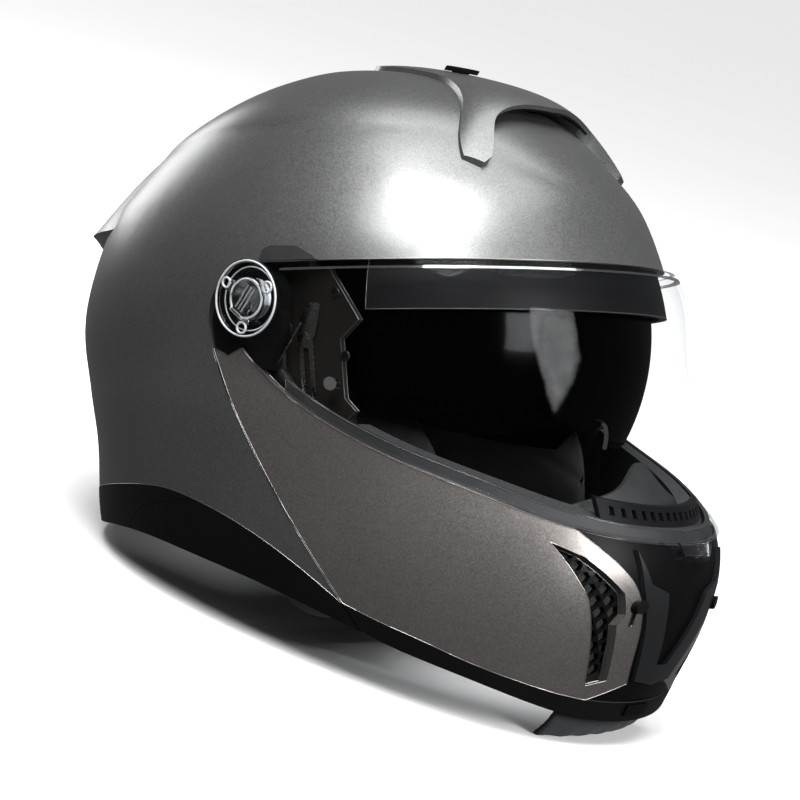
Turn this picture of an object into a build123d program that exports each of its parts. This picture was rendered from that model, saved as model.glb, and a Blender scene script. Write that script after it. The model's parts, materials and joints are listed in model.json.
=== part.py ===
from build123d import *
from math import atan2, cos, degrees, radians, sin, sqrt
import os

# Modular motorcycle helmet, millimetres.
# Everything is drawn as worn: the origin midway between the ears, +X to the
# wearer's left, -Y ahead of the face, +Z up.  The last section leans the whole
# helmet back and stands it on its chin curtain and rear trim.

# Head form: level sections of the painted outside
# Each station is height, half width, place of the widest point, reach ahead, reach behind
form_stations = [
    (-235.0, 78.0, -40.0, 116.0, 90.0),
    (-203.0, 93.0, -24.0, 134.0, 105.0),
    (-166.0, 107.5, -10.0, 156.0, 130.0),
    (-141.0, 115.0, 0.0, 168.0, 149.0),
    (-107.0, 121.5, 8.0, 169.0, 166.0),
    (-67.0, 125.8, 13.0, 158.0, 166.0),
    (-31.0, 127.2, 15.0, 148.0, 172.0),
    (-8.0, 127.3, 15.0, 142.5, 176.0),
    (8.0, 127.0, 15.0, 139.5, 174.0),
    (25.0, 124.8, 15.0, 134.5, 168.5),
    (45.0, 118.8, 15.0, 127.0, 160.5),
    (63.0, 110.3, 15.0, 115.5, 147.0),
    (80.0, 99.3, 15.0, 100.0, 130.0),
    (96.0, 84.8, 15.0, 80.0, 107.0),
    (108.5, 67.8, 15.0, 57.5, 82.5),
    (118.0, 47.0, 15.0, 31.0, 56.5),
    (123.2, 26.0, 15.0, 5.5, 36.5),
    (124.6, 9.0, 15.0, -8.0, 22.0),
]
crown_height = form_stations[-1][0]
least_width_share = 0.3
front_fullness = 0.60
rear_fullness = 0.57

# Raised crown band, which meets the sides along a crease
band_stations = [
    (34.0, 92.0, 15.0, 129.0, 120.0),
    (50.0, 96.0, 15.0, 124.5, 132.0),
    (66.0, 97.0, 15.0, 114.5, 136.0),
    (82.0, 94.5, 15.0, 99.5, 130.5),
    (96.0, 86.6, 15.0, 81.6, 109.0),
    (108.5, 70.0, 15.0, 59.0, 84.3),
    (118.3, 48.5, 15.0, 32.5, 58.0),
    (123.7, 27.0, 15.0, 6.5, 37.5),
    (125.2, 9.0, 15.0, -8.0, 22.0),
]

# Spoiler lip round the back, with a sharp lower edge
lip_under = [
    (28.0, 108.0, 15.0, 95.0, 161.0),
    (45.0, 108.0, 15.0, 95.0, 180.0),
]
lip_over = [
    (45.0, 108.0, 15.0, 95.0, 180.0),
    (56.0, 104.0, 15.0, 92.0, 167.0),
    (70.0, 98.0, 15.0, 85.0, 150.0),
    (92.0, 78.0, 15.0, 70.0, 115.0),
]

# Shield form: clear, upright in front and drawn in at its top edge
shield_stations = [
    (26.0, 130.0, -12.0, 134.5, 200.0),
    (20.5, 130.0, -12.0, 140.4, 200.0),
    (9.0, 130.0, -12.0, 147.5, 200.0),
    (-15.0, 129.8, -12.0, 151.2, 200.0),
    (-40.0, 126.8, -10.0, 155.2, 200.0),
    (-66.0, 124.6, -9.0, 161.0, 200.0),
    (-85.0, 124.7, -9.0, 165.6, 200.0),
    (-104.0, 124.7, -9.0, 170.4, 200.0),
    (-122.0, 124.4, -9.0, 174.6, 200.0),
    (-140.0, 124.0, -9.0, 178.2, 200.0),
]
shield_fullness = 0.555
shield_thickness = 2.2

# Head space inside the liner
cavity_stations = [
    (-160.0, 88.0, 10.0, 96.0, 122.0),
    (-120.0, 90.0, 10.0, 98.0, 128.0),
    (-60.0, 92.0, 12.0, 101.0, 133.0),
    (0.0, 92.0, 14.0, 103.0, 136.0),
    (40.0, 85.0, 15.0, 96.0, 126.0),
    (66.0, 71.0, 16.0, 80.0, 106.0),
    (85.0, 50.0, 17.0, 54.0, 78.0),
    (95.0, 24.0, 18.0, 20.0, 45.0),
    (97.0, 8.0, 18.0, -8.0, 26.0),
]
pad_thickness = 8.0

# Lines seen from the side: places along Y and Z
ear = (-4.7, 3.8)
brow_level = 21.5
split_line = [
    (2.9, 21.5), (13.4, 14.8), (19.0, 6.0), (20.9, -5.0), (18.9, -19.0), (7.8, -44.6),
    (-4.2, -68.1), (-15.5, -88.5), (-34.6, -120.1), (-46.5, -140.2),
]
split_top_count = 5
split_gap = 0.8
side_foot = (-54.3, -153.5)
rim_line = [
    (1.2, -19.4), (-7.5, -28.2), (-21.9, -40.7), (-38.8, -52.2), (-55.7, -62.1),
    (-79.1, -73.9), (-113.0, -89.2), (-147.2, -105.5), (-190.0, -117.0),
]
chin_top_notch = (9.5, -23.0)
shell_foot_line = [
    (-46.5, -140.2), (-8.7, -111.9), (35.9, -91.1), (56.0, -86.0), (76.9, -84.4), (120.0, -85.0),
    (210.0, -87.0),
]
trim_foot_line = [
    (-54.3, -153.5), (-30.9, -143.0), (7.3, -128.0), (34.9, -119.3), (80.8, -107.8),
    (120.0, -104.0), (210.0, -102.0),
]
chin_foot_line = [
    (-47.3, -140.2), (-65.1, -149.0), (-82.8, -157.2), (-104.3, -168.8), (-122.2, -178.5),
    (-134.0, -185.5), (-190.0, -189.0),
]
chin_trim_line = [
    (-54.3, -153.5), (-63.6, -158.1), (-98.1, -174.2), (-123.4, -189.4), (-134.0, -197.0),
    (-190.0, -200.0),
]
port_edge = [(-40.0, 18.0), (-58.0, -7.0), (-47.0, -16.0), (-49.5, -44.0), (-56.0, -50.0)]

# Skins and gaps
shell_thickness = 3.6
guard_thickness = 4.0
seam = 0.15
fit = 0.05

# Side plates behind the ears and the chin guard's pivots, places across X
plate_inner = 109.5
plate_outer = 112.5
arm_inner = 114.5
arm_outer = 117.0
plate_rear = [
    (-30.0, -72.0), (4.0, -66.0), (17.8, -44.6), (28.9, -19.0), (30.9, -5.0), (29.0, 6.0),
    (23.0, 15.0), (14.0, 18.0),
]
hinge_pin_radius = 4.0
hinge_head_radius = 7.0
hinge_head_thickness = 1.6
hinge_flange_radius = 6.5
hinge_flange_thickness = 1.9
arm_eye_radius = 12.5
arm_leg = [
    (-15.0, -2.0), (-16.5, -30.0), (-28.0, -44.0), (-42.0, -58.0), (-28.0, -70.0), (-12.0, -56.0),
    (-3.0, -34.0), (5.0, -4.0),
]
arm_boss = [(-26.0, -48.0), (-42.0, -58.0), (-28.0, -70.0), (-16.0, -58.0)]
lever_inner = 112.55
lever_outer = 113.7
lever_blade = [
    (-28.0, 2.5), (-36.0, 1.0), (-33.0, -13.0), (-29.0, -20.0), (-22.0, -19.0), (-21.0, -10.0),
]
lever_rails = [
    [(-22.6, -16.0), (-25.2, -16.0), (-28.0, -42.6), (-25.4, -42.6)],
    [(-28.6, -16.0), (-31.2, -16.0), (-34.0, -46.0), (-31.4, -46.0)],
]
lever_rivet = (-25.5, -15.0)
lever_rivet_radius = 3.4
lever_rivet_outer = 114.3

# Pod, disc and shield ear round the pivot
pod_depth = 1.2
pod_radius = 16.7
pod_outline = [
    (4.0, 16.0), (11.5, 13.0), (17.4, 6.0), (19.6, -5.0), (17.7, -18.6), (9.5, -22.7), (1.4, -19.1),
    (-7.2, -27.9), (-13.0, -30.0), (-20.5, -12.0), (-21.0, -3.0), (-18.0, 6.0),
]
pod_head_space = 8.2
pod_head_depth = 2.4
disc_radius = 10.0
disc_seat = 121.0
disc_outer = 130.4
lug_radius = 12.4
lug_outer = 131.8
lug_width = 6.0
lug_turns = (35.0, 160.0, 280.0)
slider_block = (7.0, 19.0, 1.6)
slider_block_turn = 38.0
ear_radius = 19.0
ear_rib_width = 2.2
ear_rib_outer = 131.2
ear_outer = 130.0
ear_boss_radius = 12.5
ear_boss_inner = 126.2
shield_top = 20.5
shield_rise = 2.2
tab_edge = [(-30.0, -104.0), (-22.0, -112.0), (-15.0, -120.0), (0.0, -121.5), (15.0, -120.0),
            (22.0, -112.0), (30.0, -104.0)]
catch_outline = [(-11.0, -118.5), (11.0, -118.5), (13.0, -112.0), (-13.0, -112.0)]
catch_proud = 1.8
stud_place = (-47.0, -37.0)
stud_radius = 3.2
stud_length = 3.2

# Brow strip, ear bumpers and gaskets
strip_depth = 3.7
strip_thickness = 3.0
strip_foot = -2.0
strip_top = 32.0
strip_rear = -60.0
bumper_outline = [
    (-8.7, 21.7), (-10.0, 27.0), (-14.0, 29.0), (-28.0, 28.4), (-37.0, 23.5), (-38.8, 21.7),
]
bumper_height = 2.2

liner_depth = 3.8
arm_room = 99.2

# Sun visor, drawn about its own pivots: places across X and away from the pivot line
tint_pivot = (-15.0, -10.0)
tint_curve = [
    (-103.7, 36.0), (-101.0, 48.0), (-96.0, 60.0), (-88.0, 73.0), (-76.0, 86.0), (-60.0, 98.0),
    (-36.0, 108.0), (0.0, 112.5), (36.0, 108.0), (60.0, 98.0), (76.0, 86.0), (88.0, 73.0),
    (96.0, 60.0), (101.0, 48.0), (103.7, 36.0),
]
tint_half_width = 103.7
tint_reach = 112.5
tint_thickness = 2.2
tint_outline = [
    (-15.0, -1.0), (-44.0, -4.0), (-60.0, 9.0), (-160.0, 30.0), (-160.0, -84.0),
    (-115.0, -69.5), (-75.0, -56.0), (-50.0, -42.0), (-15.0, -19.0),
]
tint_hub_radius = 9.0
tint_pin_radius = 3.0
tint_pin_head = 5.0
nose_notch = [
    (-27.0, -90.0), (-19.0, -63.0), (-8.0, -54.5), (0.0, -53.0), (8.0, -54.5), (19.0, -63.0),
    (27.0, -90.0),
]
tint_room = 4.5
tint_room_angles = (-62.0, 70.0)

# Liner and side room
liner_outline_front = [(-36.0, 24.5), (-36.0, -84.0), (-8.7, -109.9)]
liner_foot = [
    (-8.7, -109.9), (35.9, -89.1), (56.0, -84.0), (76.9, -82.4), (120.0, -83.0), (210.0, -85.0),
]
plate_seat = 109.3
side_room = [
    (-60.0, 24.4), (-60.0, -150.0), (-38.0, -150.0), (-28.0, -118.0), (-10.0, -88.0),
    (8.0, -70.0), (26.0, -46.0), (36.0, -20.0), (38.0, -4.0), (36.0, 10.0), (28.0, 19.0),
    (16.0, 24.4),
]
plate_wall_thickness = 3.0
plate_wall_area = [(17.0, -46.5), (60.0, -46.5), (60.0, 17.0), (26.0, 17.0), (26.0, -30.0)]
hinge_room = 16.0

# Pads, neck roll and straps
pad_clear = 0.3
pad_front_depth = 19.0
crown_pad_foot = [(-140.0, 28.0), (-60.0, 27.0), (0.0, 6.0), (60.0, -24.0), (160.0, -44.0)]
cheek_outline = [
    (-82.0, -84.0), (-72.0, -64.0), (-52.0, -44.0), (-30.0, -29.0), (0.0, -25.0), (30.0, -36.0),
    (48.0, -60.0), (34.0, -86.0), (0.0, -102.0), (-38.0, -120.0), (-66.0, -122.0), (-80.0, -106.0),
]
cheek_centre = (-24.0, -78.0)
cheek_layers = [(91.6, 0.90), (87.0, 0.985), (78.0, 1.0), (68.0, 0.95), (61.0, 0.83), (57.5, 0.62)]
roll_path = [(-93.0, 50.0, -94.4), (-74.0, 106.0, -93.8), (0.0, 145.0, -93.6), (74.0, 106.0, -93.8),
             (93.0, 50.0, -94.4)]
roll_half_width = 11.0
roll_half_height = 9.0
strap_path = [(-97.4, -110.2), (-94.0, -129.0), (-74.0, -145.0), (-44.0, -150.5), (-16.2, -151.5)]
strap_along = -4.0
strap_width = 22.0
strap_thickness = 1.8
buckle_length = 40.0
buckle_width = 26.0
buckle_thickness = 3.0
buckle_level = -151.5
buckle_wall = 2.0
buckle_wall_height = 7.0
strap_seat = 5.0
strap_seat_clear = 0.35
lever_pin = (10.0, -145.1)
lever_pin_radius = 1.6
lever_hub_radius = 3.0
lever_length = 22.0
lever_height = 2.2
lever_clear = 0.3

# Lower trims and the place where the helmet rests
trim_proud = -0.3
trim_depth = 5.0
cover_seam = [
    (12.0, -89.5), (36.0, -91.2), (61.4, -93.2), (83.6, -99.5), (92.0, -110.0), (95.0, -130.0),
]
rest_front = (-116.0, -205.9)
rest_rear = (165.0, -102.4)
curtain_stations = [
    (-180.0, 96.6, -16.0, 142.2, 112.0),
    (-196.0, 90.2, -24.0, 132.3, 103.0),
    (-204.0, 84.0, -28.0, 123.0, 92.0),
    (-207.2, 66.0, -32.0, 104.0, 70.0),
    (-208.0, 40.0, -32.0, 70.0, 40.0),
]
curtain_thickness = 2.2
curtain_outline = [
    (-200.0, -190.0), (-136.0, -188.0), (-106.0, -184.0), (-106.0, -190.0), (-114.0, -230.0),
    (-200.0, -230.0),
]
curtain_half_width = 43.0

# Chin guard details
panel_side = [
    (-62.4, -90.0), (-62.4, -105.5), (-52.0, -116.3), (-36.7, -131.1), (-31.8, -138.7),
    (-25.5, -155.6), (-17.0, -179.7), (-39.1, -187.0), (-39.1, -230.0),
]
panel_gap = 0.35
panel_depth = 0.5
panel_front = -100.0
vent_window = [
    (-73.0, -111.0), (-60.5, -118.2), (-51.6, -126.0), (-41.5, -135.4), (-38.2, -145.4),
    (-41.0, -150.4), (-31.6, -177.5), (-41.9, -179.6), (-57.8, -136.8), (-62.4, -129.3),
]
mesh_depth = 4.2
mesh_thickness = 2.0
mesh_margin = 3.0
mesh_pitch = 6.4
mesh_hole = 2.75
mesh_rows = 12
mesh_columns = 9
fin_outline = [
    (-38.2, -115.0), (-33.6, -133.0), (-27.0, -150.0), (-15.5, -178.5), (0.0, -181.0),
    (15.5, -178.5), (27.0, -150.0), (33.6, -133.0), (38.2, -115.0), (29.4, -131.5), (17.5, -136.0),
    (13.2, -150.0), (4.5, -171.0), (-4.5, -171.0), (-13.2, -150.0), (-17.5, -136.0),
    (-29.4, -131.5),
]
fin_depth = 0.3
fin_proud = -2.2
chin_liner_rear = [(-57.0, -66.0), (-60.0, -118.0)]
chin_liner_depth = 16.0
chin_liner_above = 6.0
chin_liner_foot = [(-62.0, -142.0), (-104.0, -164.0), (-134.0, -181.0), (-200.0, -185.0)]
rim_gasket_in = 4.2
rim_gasket_out = 2.4
rim_gasket_height = 6.0
deflector_out = 16.2
deflector_in = 18.2
deflector_top = [(-72.0, -108.0), (-40.0, -92.0), (-16.0, -84.0), (0.0, -74.0), (16.0, -84.0),
                 (40.0, -92.0), (72.0, -108.0)]
deflector_foot = -118.0
louver_out = 6.2
louver_in = 8.4
louver_half_width = 46.0
louver_rise = 9.0
louver_slot_count = 14
louver_slot_width = 3.0
louver_slot_height = 4.0
louver_slot_level = 2.5
nub_place = (-33.6, -142.0)
nub_radius = 3.2
nub_travel = 8.0
nub_proud = 3.6
nub_clear = 0.3
nub_stem = 1.2
nub_depth = 3.5
button_half_width = 9.0
button_levels = (-195.8, -190.6)
button_proud = 1.8
button_depth = 2.0
latch_place = (-38.0, -125.0)
latch_pin_radius = 3.0
latch_pin_inner = 99.0
latch_head_radius = 5.0
latch_head_thickness = 2.0
hook_inner = 101.5
hook_outer = 105.0
hook_outline = [
    (-30.5, -117.5), (-30.5, -121.6), (-41.6, -121.6), (-41.6, -128.4), (-30.5, -128.4),
    (-30.5, -133.0), (-66.0, -139.0), (-70.0, -128.0), (-66.0, -117.5),
]
hook_boss = [(-58.0, -117.0), (-68.5, -117.0), (-71.0, -129.0), (-68.0, -140.5), (-56.0, -139.0)]
hook_block_outline = [
    (-58.5, -120.0), (-66.5, -120.0), (-69.5, -128.5), (-66.0, -138.5), (-57.0, -137.0),
]

# Top vent, drawn on a plane leaning with the brow: places across, along and above it
vent_rise = (0.0, -0.62, 0.785)
vent_sections = [
    (-38.0, 69.5, 106.2, 46.0, 121.0, 133.5),
    (-22.0, 68.5, 108.6, 46.0, 124.5, 135.8),
    (-10.0, 60.5, 113.6, 42.0, 127.5, 136.3),
    (6.0, 46.5, 119.4, 32.0, 129.2, 134.0),
    (24.0, 32.5, 119.2, 20.0, 126.0, 128.2),
    (45.0, 20.5, 114.0, 12.0, 118.1, 119.2),
    (70.0, 16.5, 103.6, 9.0, 105.6, 106.2),
    (92.0, 12.0, 88.8, 5.0, 90.4, 90.8),
]
vent_bottom = 14.0
vent_side = [
    (0.0, 90.0), (10.0, 83.0), (14.0, 70.0), (16.5, 47.0), (30.0, 23.0), (43.0, 8.0), (58.0, -8.0),
    (67.0, -23.0),
]
vent_nose = [
    (67.0, -23.0), (62.5, -32.0), (58.0, -31.0), (50.0, -20.5), (41.0, -11.0), (35.0, -9.0),
    (0.0, -10.7),
]
vent_mouth = [
    (-50.0, -45.0), (-38.5, -3.0), (-22.0, 20.0), (0.0, 30.0), (22.0, 20.0), (38.5, -3.0),
    (50.0, -45.0),
]
vent_channel = [
    (-46.0, -40.0), (-37.8, -3.0), (-21.7, 19.5), (0.0, 29.4), (21.7, 19.5), (37.8, -3.0),
    (46.0, -40.0),
]
vent_wall = 2.4
vent_liner = 1.2
vent_slider_half = 7.0
vent_slider_span = (41.0, 51.0)
vent_slider_height = 3.2
vent_stem_half = 3.0
vent_stem_span = (43.0, 49.0)
vent_travel = 8.0
vent_stem_depth = 2.6
vent_stem_top = 1.2
vent_slider_clear = 0.1
vent_slide = (0.985, 0.173)
vent_slide_steps = 4
intake_half = 15.0
intake_span = (2.0, 11.0)

# Rear vent under the spoiler lip
rear_vent_half = 40.0
rear_vent_levels = (29.5, 41.5)
rear_vent_drop = 1.8
rear_vent_front = 100.0
rear_slot_half = 5.0
rear_slot_pitch = 13.0
rear_slot_count = 5
rear_slot_levels = (31.5, 38.5)

# Sun visor slider on the wearer's left
tint_slider_place = (5.0, -116.5)
tint_slider_length = 14.0
tint_slider_height = 5.0
tint_slider_travel = 20.0
tint_slider_slope = 21.0
tint_slider_proud = 3.4
tint_slider_clear = 0.6
tint_stem_length = 6.0
tint_stem_height = 2.4
tint_stem_depth = 4.4
tint_slot_depth = 26.0

overrun = 260.0

def level_section(station, inset, front, rear):
    """One closed level section as a sketch, its surface moved inward by inset."""
    height, half_width, widest, ahead, behind = station
    tilt = max(height, 0.0) / crown_height
    level = sqrt(max(1.0 - tilt * tilt, 0.0))
    half = max(half_width - inset * level, half_width * least_width_share)
    fore = ahead - inset * level
    aft = behind - inset * level
    fore_pull = front * (fore + widest)
    aft_pull = rear * (aft - widest)
    with BuildSketch(Plane.XY.offset(height - inset * tilt)) as section:
        with BuildLine():
            Bezier((half, widest), (half, widest - fore_pull), (front * half, -fore), (0, -fore))
            Bezier((0, -fore), (-front * half, -fore), (-half, widest - fore_pull), (-half, widest))
            Bezier((-half, widest), (-half, widest + aft_pull), (-rear * half, aft), (0, aft))
            Bezier((0, aft), (rear * half, aft), (half, widest + aft_pull), (half, widest))
        make_face()
    return section.sketch

def lofted_form(stations, inset=0.0, front=front_fullness, rear=rear_fullness):
    """Lofts a closed body through level sections."""
    sections = [level_section(station, inset, front, rear) for station in stations]
    with BuildPart() as body:
        loft(sections)
    return body.part

def outline(plane, runs):
    """A closed outline from runs of points, long runs as smooth curves."""
    with BuildSketch(plane) as area:
        with BuildLine():
            for run in runs:
                if len(run) > 2:
                    Spline(*run)
                else:
                    Line(*run)
        make_face()
    return area.sketch

def side_slab(runs, start=-overrun, end=overrun):
    """A side outline extruded across the helmet from start to end along X."""
    area = outline(Plane.YZ.offset(start), runs)
    with BuildPart() as slab:
        extrude(area, amount=end - start)
    return slab.part

def front_slab(runs, start=0.0, end=overrun):
    """A front outline extruded ahead, from start to end along -Y."""
    area = outline(Plane.XZ.offset(start), runs)
    with BuildPart() as slab:
        extrude(area, amount=end - start)
    return slab.part

def shifted(run, along, up):
    """A run of points moved along Y and up Z."""
    return [(y + along, z + up) for y, z in run]

def ring_of(points):
    """Straight runs that close a polygon."""
    return [[points[i], points[(i + 1) % len(points)]] for i in range(len(points))]

def at_side(place, x):
    """A plane facing +X through a side-view place."""
    along, up = place
    return Plane(origin=(x, along, up), x_dir=(0, 1, 0), z_dir=(1, 0, 0))

def side_rod(place, radius, start, end):
    """A round rod along X between two places across the helmet."""
    with BuildPart() as rod:
        with BuildSketch(at_side(place, start)):
            Circle(radius)
        extrude(amount=end - start)
    return rod.part

pieces = {}

def finish(builder, name):
    """Keeps a finished piece under its own name."""
    builder.part.label = name
    pieces[name] = builder.part

def finish_pair(builder, name):
    """Keeps a piece drawn on the wearer's right, and its mirror image on the left."""
    finish(builder, name + "_right")
    with BuildPart() as left:
        mirror(builder.part, about=Plane.YZ)
    finish(left, name + "_left")

def finish_both(builder, name):
    """Keeps a piece and its mirror image together under one name."""
    with BuildPart() as both:
        add(builder.part)
        mirror(builder.part, about=Plane.YZ)
    finish(both, name)

# Forms used by many pieces
far = overrun
head_form = lofted_form(form_stations)
band_form = lofted_form(band_stations)
lip_under_form = lofted_form(lip_under)
lip_over_form = lofted_form(lip_over)
with BuildPart() as head_outside:
    add(head_form)
    add(band_form)
    add(lip_under_form)
    add(lip_over_form)
cavity_form = lofted_form(cavity_stations)

def skin(area, outer, inner):
    """The head form between two depths, inside an area."""
    outer_form = lofted_form(form_stations, outer)
    inner_form = lofted_form(form_stations, inner)
    with BuildPart() as layer:
        add(outer_form)
        add(inner_form, mode=Mode.SUBTRACT)
        add(area, mode=Mode.INTERSECT)
    return layer.part

# Outer shell
shell_area = side_slab([
    split_line,
    shell_foot_line,
    [shell_foot_line[-1], (far, shell_foot_line[-1][1])],
    [(far, shell_foot_line[-1][1]), (far, far)],
    [(far, far), (-far, far)],
    [(-far, far), (-far, brow_level)],
    [(-far, brow_level), split_line[0]],
])
at_shell_inside = lofted_form(form_stations, shell_thickness)
right_half = Pos(-far / 2, 0, 0) * Box(far, far * 2, far * 2)
with BuildPart() as outer_shell_half:
    add(head_outside.part)
    add(at_shell_inside, mode=Mode.SUBTRACT)
    add(shell_area, mode=Mode.INTERSECT)
    add(right_half, mode=Mode.INTERSECT)
finish_both(outer_shell_half, "outer_shell")

# Chin guard skin
guard_rear = shifted(split_line[split_top_count - 1:], -split_gap, 0.0)
guard_runs = [
    guard_rear,
    chin_foot_line,
    [chin_foot_line[-1], (-far, chin_foot_line[-1][1])],
    [(-far, chin_foot_line[-1][1]), (-far, rim_line[-1][1])],
    [(-far, rim_line[-1][1]), rim_line[-1]],
    rim_line[::-1],
    [rim_line[0], chin_top_notch],
    [chin_top_notch, guard_rear[0]],
]
guard_area = side_slab(guard_runs)
guard_skin = skin(guard_area, 0.0, guard_thickness)

def right_slab(runs, inner, outer):
    """A side outline as a plate on the wearer's right, from inner to outer across X."""
    return side_slab(runs, -outer, -inner)

def right_rod(place, radius, inner, outer):
    """A round rod on the wearer's right, from inner to outer across X."""
    return side_rod(place, radius, -outer, -inner)

def both_sides(shape):
    """A shape together with its mirror image."""
    with BuildPart() as both:
        add(shape)
        mirror(shape, about=Plane.YZ)
    return both.part

at_guard_inner = lofted_form(form_stations, guard_thickness + fit)
at_liner = lofted_form(form_stations, liner_depth)

# Black side and rear trims below the shell
trim_skin_outer = lofted_form(form_stations, trim_proud)
trim_skin_inner = lofted_form(form_stations, trim_depth)
trim_runs = [
    [side_foot, (shell_foot_line[0][0], shell_foot_line[0][1] - seam)],
    shifted(shell_foot_line, 0.0, -seam),
    [(shell_foot_line[-1][0], shell_foot_line[-1][1] - seam), trim_foot_line[-1]],
    trim_foot_line[::-1],
]
trim_area = side_slab(trim_runs)
rest_slab = side_slab(ring_of([
    (-far, rest_front[1] - (far + rest_front[0]) * (rest_rear[1] - rest_front[1])
     / (rest_rear[0] - rest_front[0])),
    (far, rest_rear[1] + (far - rest_rear[0]) * (rest_rear[1] - rest_front[1])
     / (rest_rear[0] - rest_front[0])),
    (far, -far - far),
    (-far, -far - far),
]))

def behind_cover(shift):
    """Everything behind the seam between the side trims and the rear trim."""
    line = shifted(cover_seam, shift, shift)
    return side_slab([
        line,
        [line[-1], (far, line[-1][1])],
        [(far, line[-1][1]), (far, line[0][1] + far)],
        [(far, line[0][1] + far), (line[0][0], line[0][1] + far)],
        [(line[0][0], line[0][1] + far), line[0]],
    ])

rear_of_cover = behind_cover(0.0)
rear_of_cover_wide = behind_cover(-seam)
with BuildPart() as rear_trim:
    add(trim_skin_outer)
    add(trim_skin_inner, mode=Mode.SUBTRACT)
    add(trim_area, mode=Mode.INTERSECT)
    add(rear_of_cover, mode=Mode.INTERSECT)
    add(rest_slab, mode=Mode.SUBTRACT)
finish(rear_trim, "rear_trim")

with BuildPart() as side_trim:
    add(trim_skin_outer)
    add(trim_skin_inner, mode=Mode.SUBTRACT)
    add(trim_area, mode=Mode.INTERSECT)
    add(rear_of_cover_wide, mode=Mode.SUBTRACT)
    add(right_half, mode=Mode.INTERSECT)
finish_pair(side_trim, "side_trim")

# Sun visor, a surface turned about its own pivot line
tint_frame = Plane(
    origin=(0, tint_pivot[0], tint_pivot[1]), x_dir=(1, 0, 0), z_dir=(0, 0, -1))
tint_axis = Axis((0, tint_pivot[0], tint_pivot[1]), (-1, 0, 0))

def tint_ring(outer_share, inner_share):
    """The turned band of the sun visor between two shares of its outside curve."""
    with BuildPart() as ring:
        with BuildSketch(tint_frame):
            with BuildLine():
                outer = [(x * outer_share, r * outer_share) for x, r in tint_curve]
                inner = [(x * inner_share, r * inner_share) for x, r in tint_curve]
                Spline(*outer)
                Line(outer[-1], inner[-1])
                Spline(*inner[::-1])
                Line(inner[0], outer[0])
            make_face()
        revolve(axis=tint_axis)
    return ring.part

tint_inner_share = 1 - tint_thickness / tint_reach
tint_band = tint_ring(1.0, tint_inner_share)
tint_area = side_slab(ring_of(tint_outline))
notch_area = front_slab([nose_notch, [nose_notch[-1], nose_notch[0]]])
tint_arm = right_slab(ring_of(tint_outline), tint_half_width - tint_thickness, tint_half_width)
tint_arm_reach = tint_curve[0][1] + tint_thickness
tint_arm_disc = right_rod(
    tint_pivot, tint_arm_reach, tint_half_width - tint_thickness, tint_half_width)
tint_hub = right_rod(tint_pivot, tint_hub_radius, tint_half_width - tint_thickness, tint_half_width)
tint_bore = side_rod(tint_pivot, tint_pin_radius + fit, -far, far)
with BuildPart() as tint_arms:
    add(tint_arm)
    add(tint_arm_disc, mode=Mode.INTERSECT)
    add(tint_hub)
with BuildPart() as sun_visor:
    add(tint_band)
    add(tint_area, mode=Mode.INTERSECT)
    add(notch_area, mode=Mode.SUBTRACT)
    add(both_sides(tint_arms.part))
    add(tint_bore, mode=Mode.SUBTRACT)
finish(sun_visor, "sun_visor")

# Room the sun visor sweeps inside the liner
room_share = 1 - (tint_thickness + tint_room) / tint_reach
room_down = radians(tint_room_angles[0])
room_frame = Plane(
    origin=(0, tint_pivot[0], tint_pivot[1]), x_dir=(1, 0, 0),
    z_dir=(0, -sin(room_down), -cos(room_down)))
room_arc = tint_room_angles[1] - tint_room_angles[0]
with BuildPart() as tint_sweep:
    with BuildSketch(room_frame):
        with BuildLine():
            room_curve = [(x * room_share, r * room_share) for x, r in tint_curve]
            side_end = room_curve[-1]
            Spline(*room_curve)
            Line(side_end, (plate_outer, side_end[1]))
            Line((plate_outer, side_end[1]), (plate_outer, far))
            Line((plate_outer, far), (-plate_outer, far))
            Line((-plate_outer, far), (-plate_outer, side_end[1]))
            Line((-plate_outer, side_end[1]), room_curve[0])
        make_face()
    revolve(axis=tint_axis, revolution_arc=room_arc)
with BuildPart() as arm_sweep:
    with BuildSketch(room_frame):
        with BuildLine():
            Polyline((-plate_outer, 0), (-arm_room, 0), (-arm_room, tint_curve[-1][1]),
                     (-plate_outer, tint_curve[-1][1]), close=True)
        make_face()
    revolve(axis=tint_axis, revolution_arc=room_arc)

# Foam liner
liner_area = side_slab([
    [liner_outline_front[0], liner_outline_front[1]],
    [liner_outline_front[1], liner_outline_front[2]],
    liner_foot,
    [liner_foot[-1], (far, liner_foot[-1][1])],
    [(far, liner_foot[-1][1]), (far, far)],
    [(far, far), (-far, far)],
    [(-far, far), (-far, liner_outline_front[0][1])],
    [(-far, liner_outline_front[0][1]), liner_outline_front[0]],
])
strip_area = side_slab(ring_of([
    (-far, strip_foot), (strip_rear, strip_foot), (strip_rear, strip_top), (-far, strip_top)]))
strip_room_area = side_slab(ring_of([
    (-far, strip_foot), (strip_rear + seam, strip_foot), (strip_rear + seam, strip_top + seam),
    (-far, strip_top + seam)]))
at_strip_outer = lofted_form(form_stations, strip_depth)
at_strip_inner = lofted_form(form_stations, strip_depth + strip_thickness)
at_strip_room = lofted_form(form_stations, strip_depth + strip_thickness + seam)
with BuildPart() as strip_room:
    add(strip_room_area)
    add(at_strip_room, mode=Mode.SUBTRACT)
side_cut = both_sides(right_slab(ring_of(side_room), plate_seat, far))
hub_cut = both_sides(right_rod(tint_pivot, hinge_room, arm_room, plate_outer))
hinge_cut = both_sides(right_rod(ear, hinge_flange_radius + fit + seam, arm_room, plate_outer))
arm_sweep_both = both_sides(arm_sweep.part)
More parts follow.
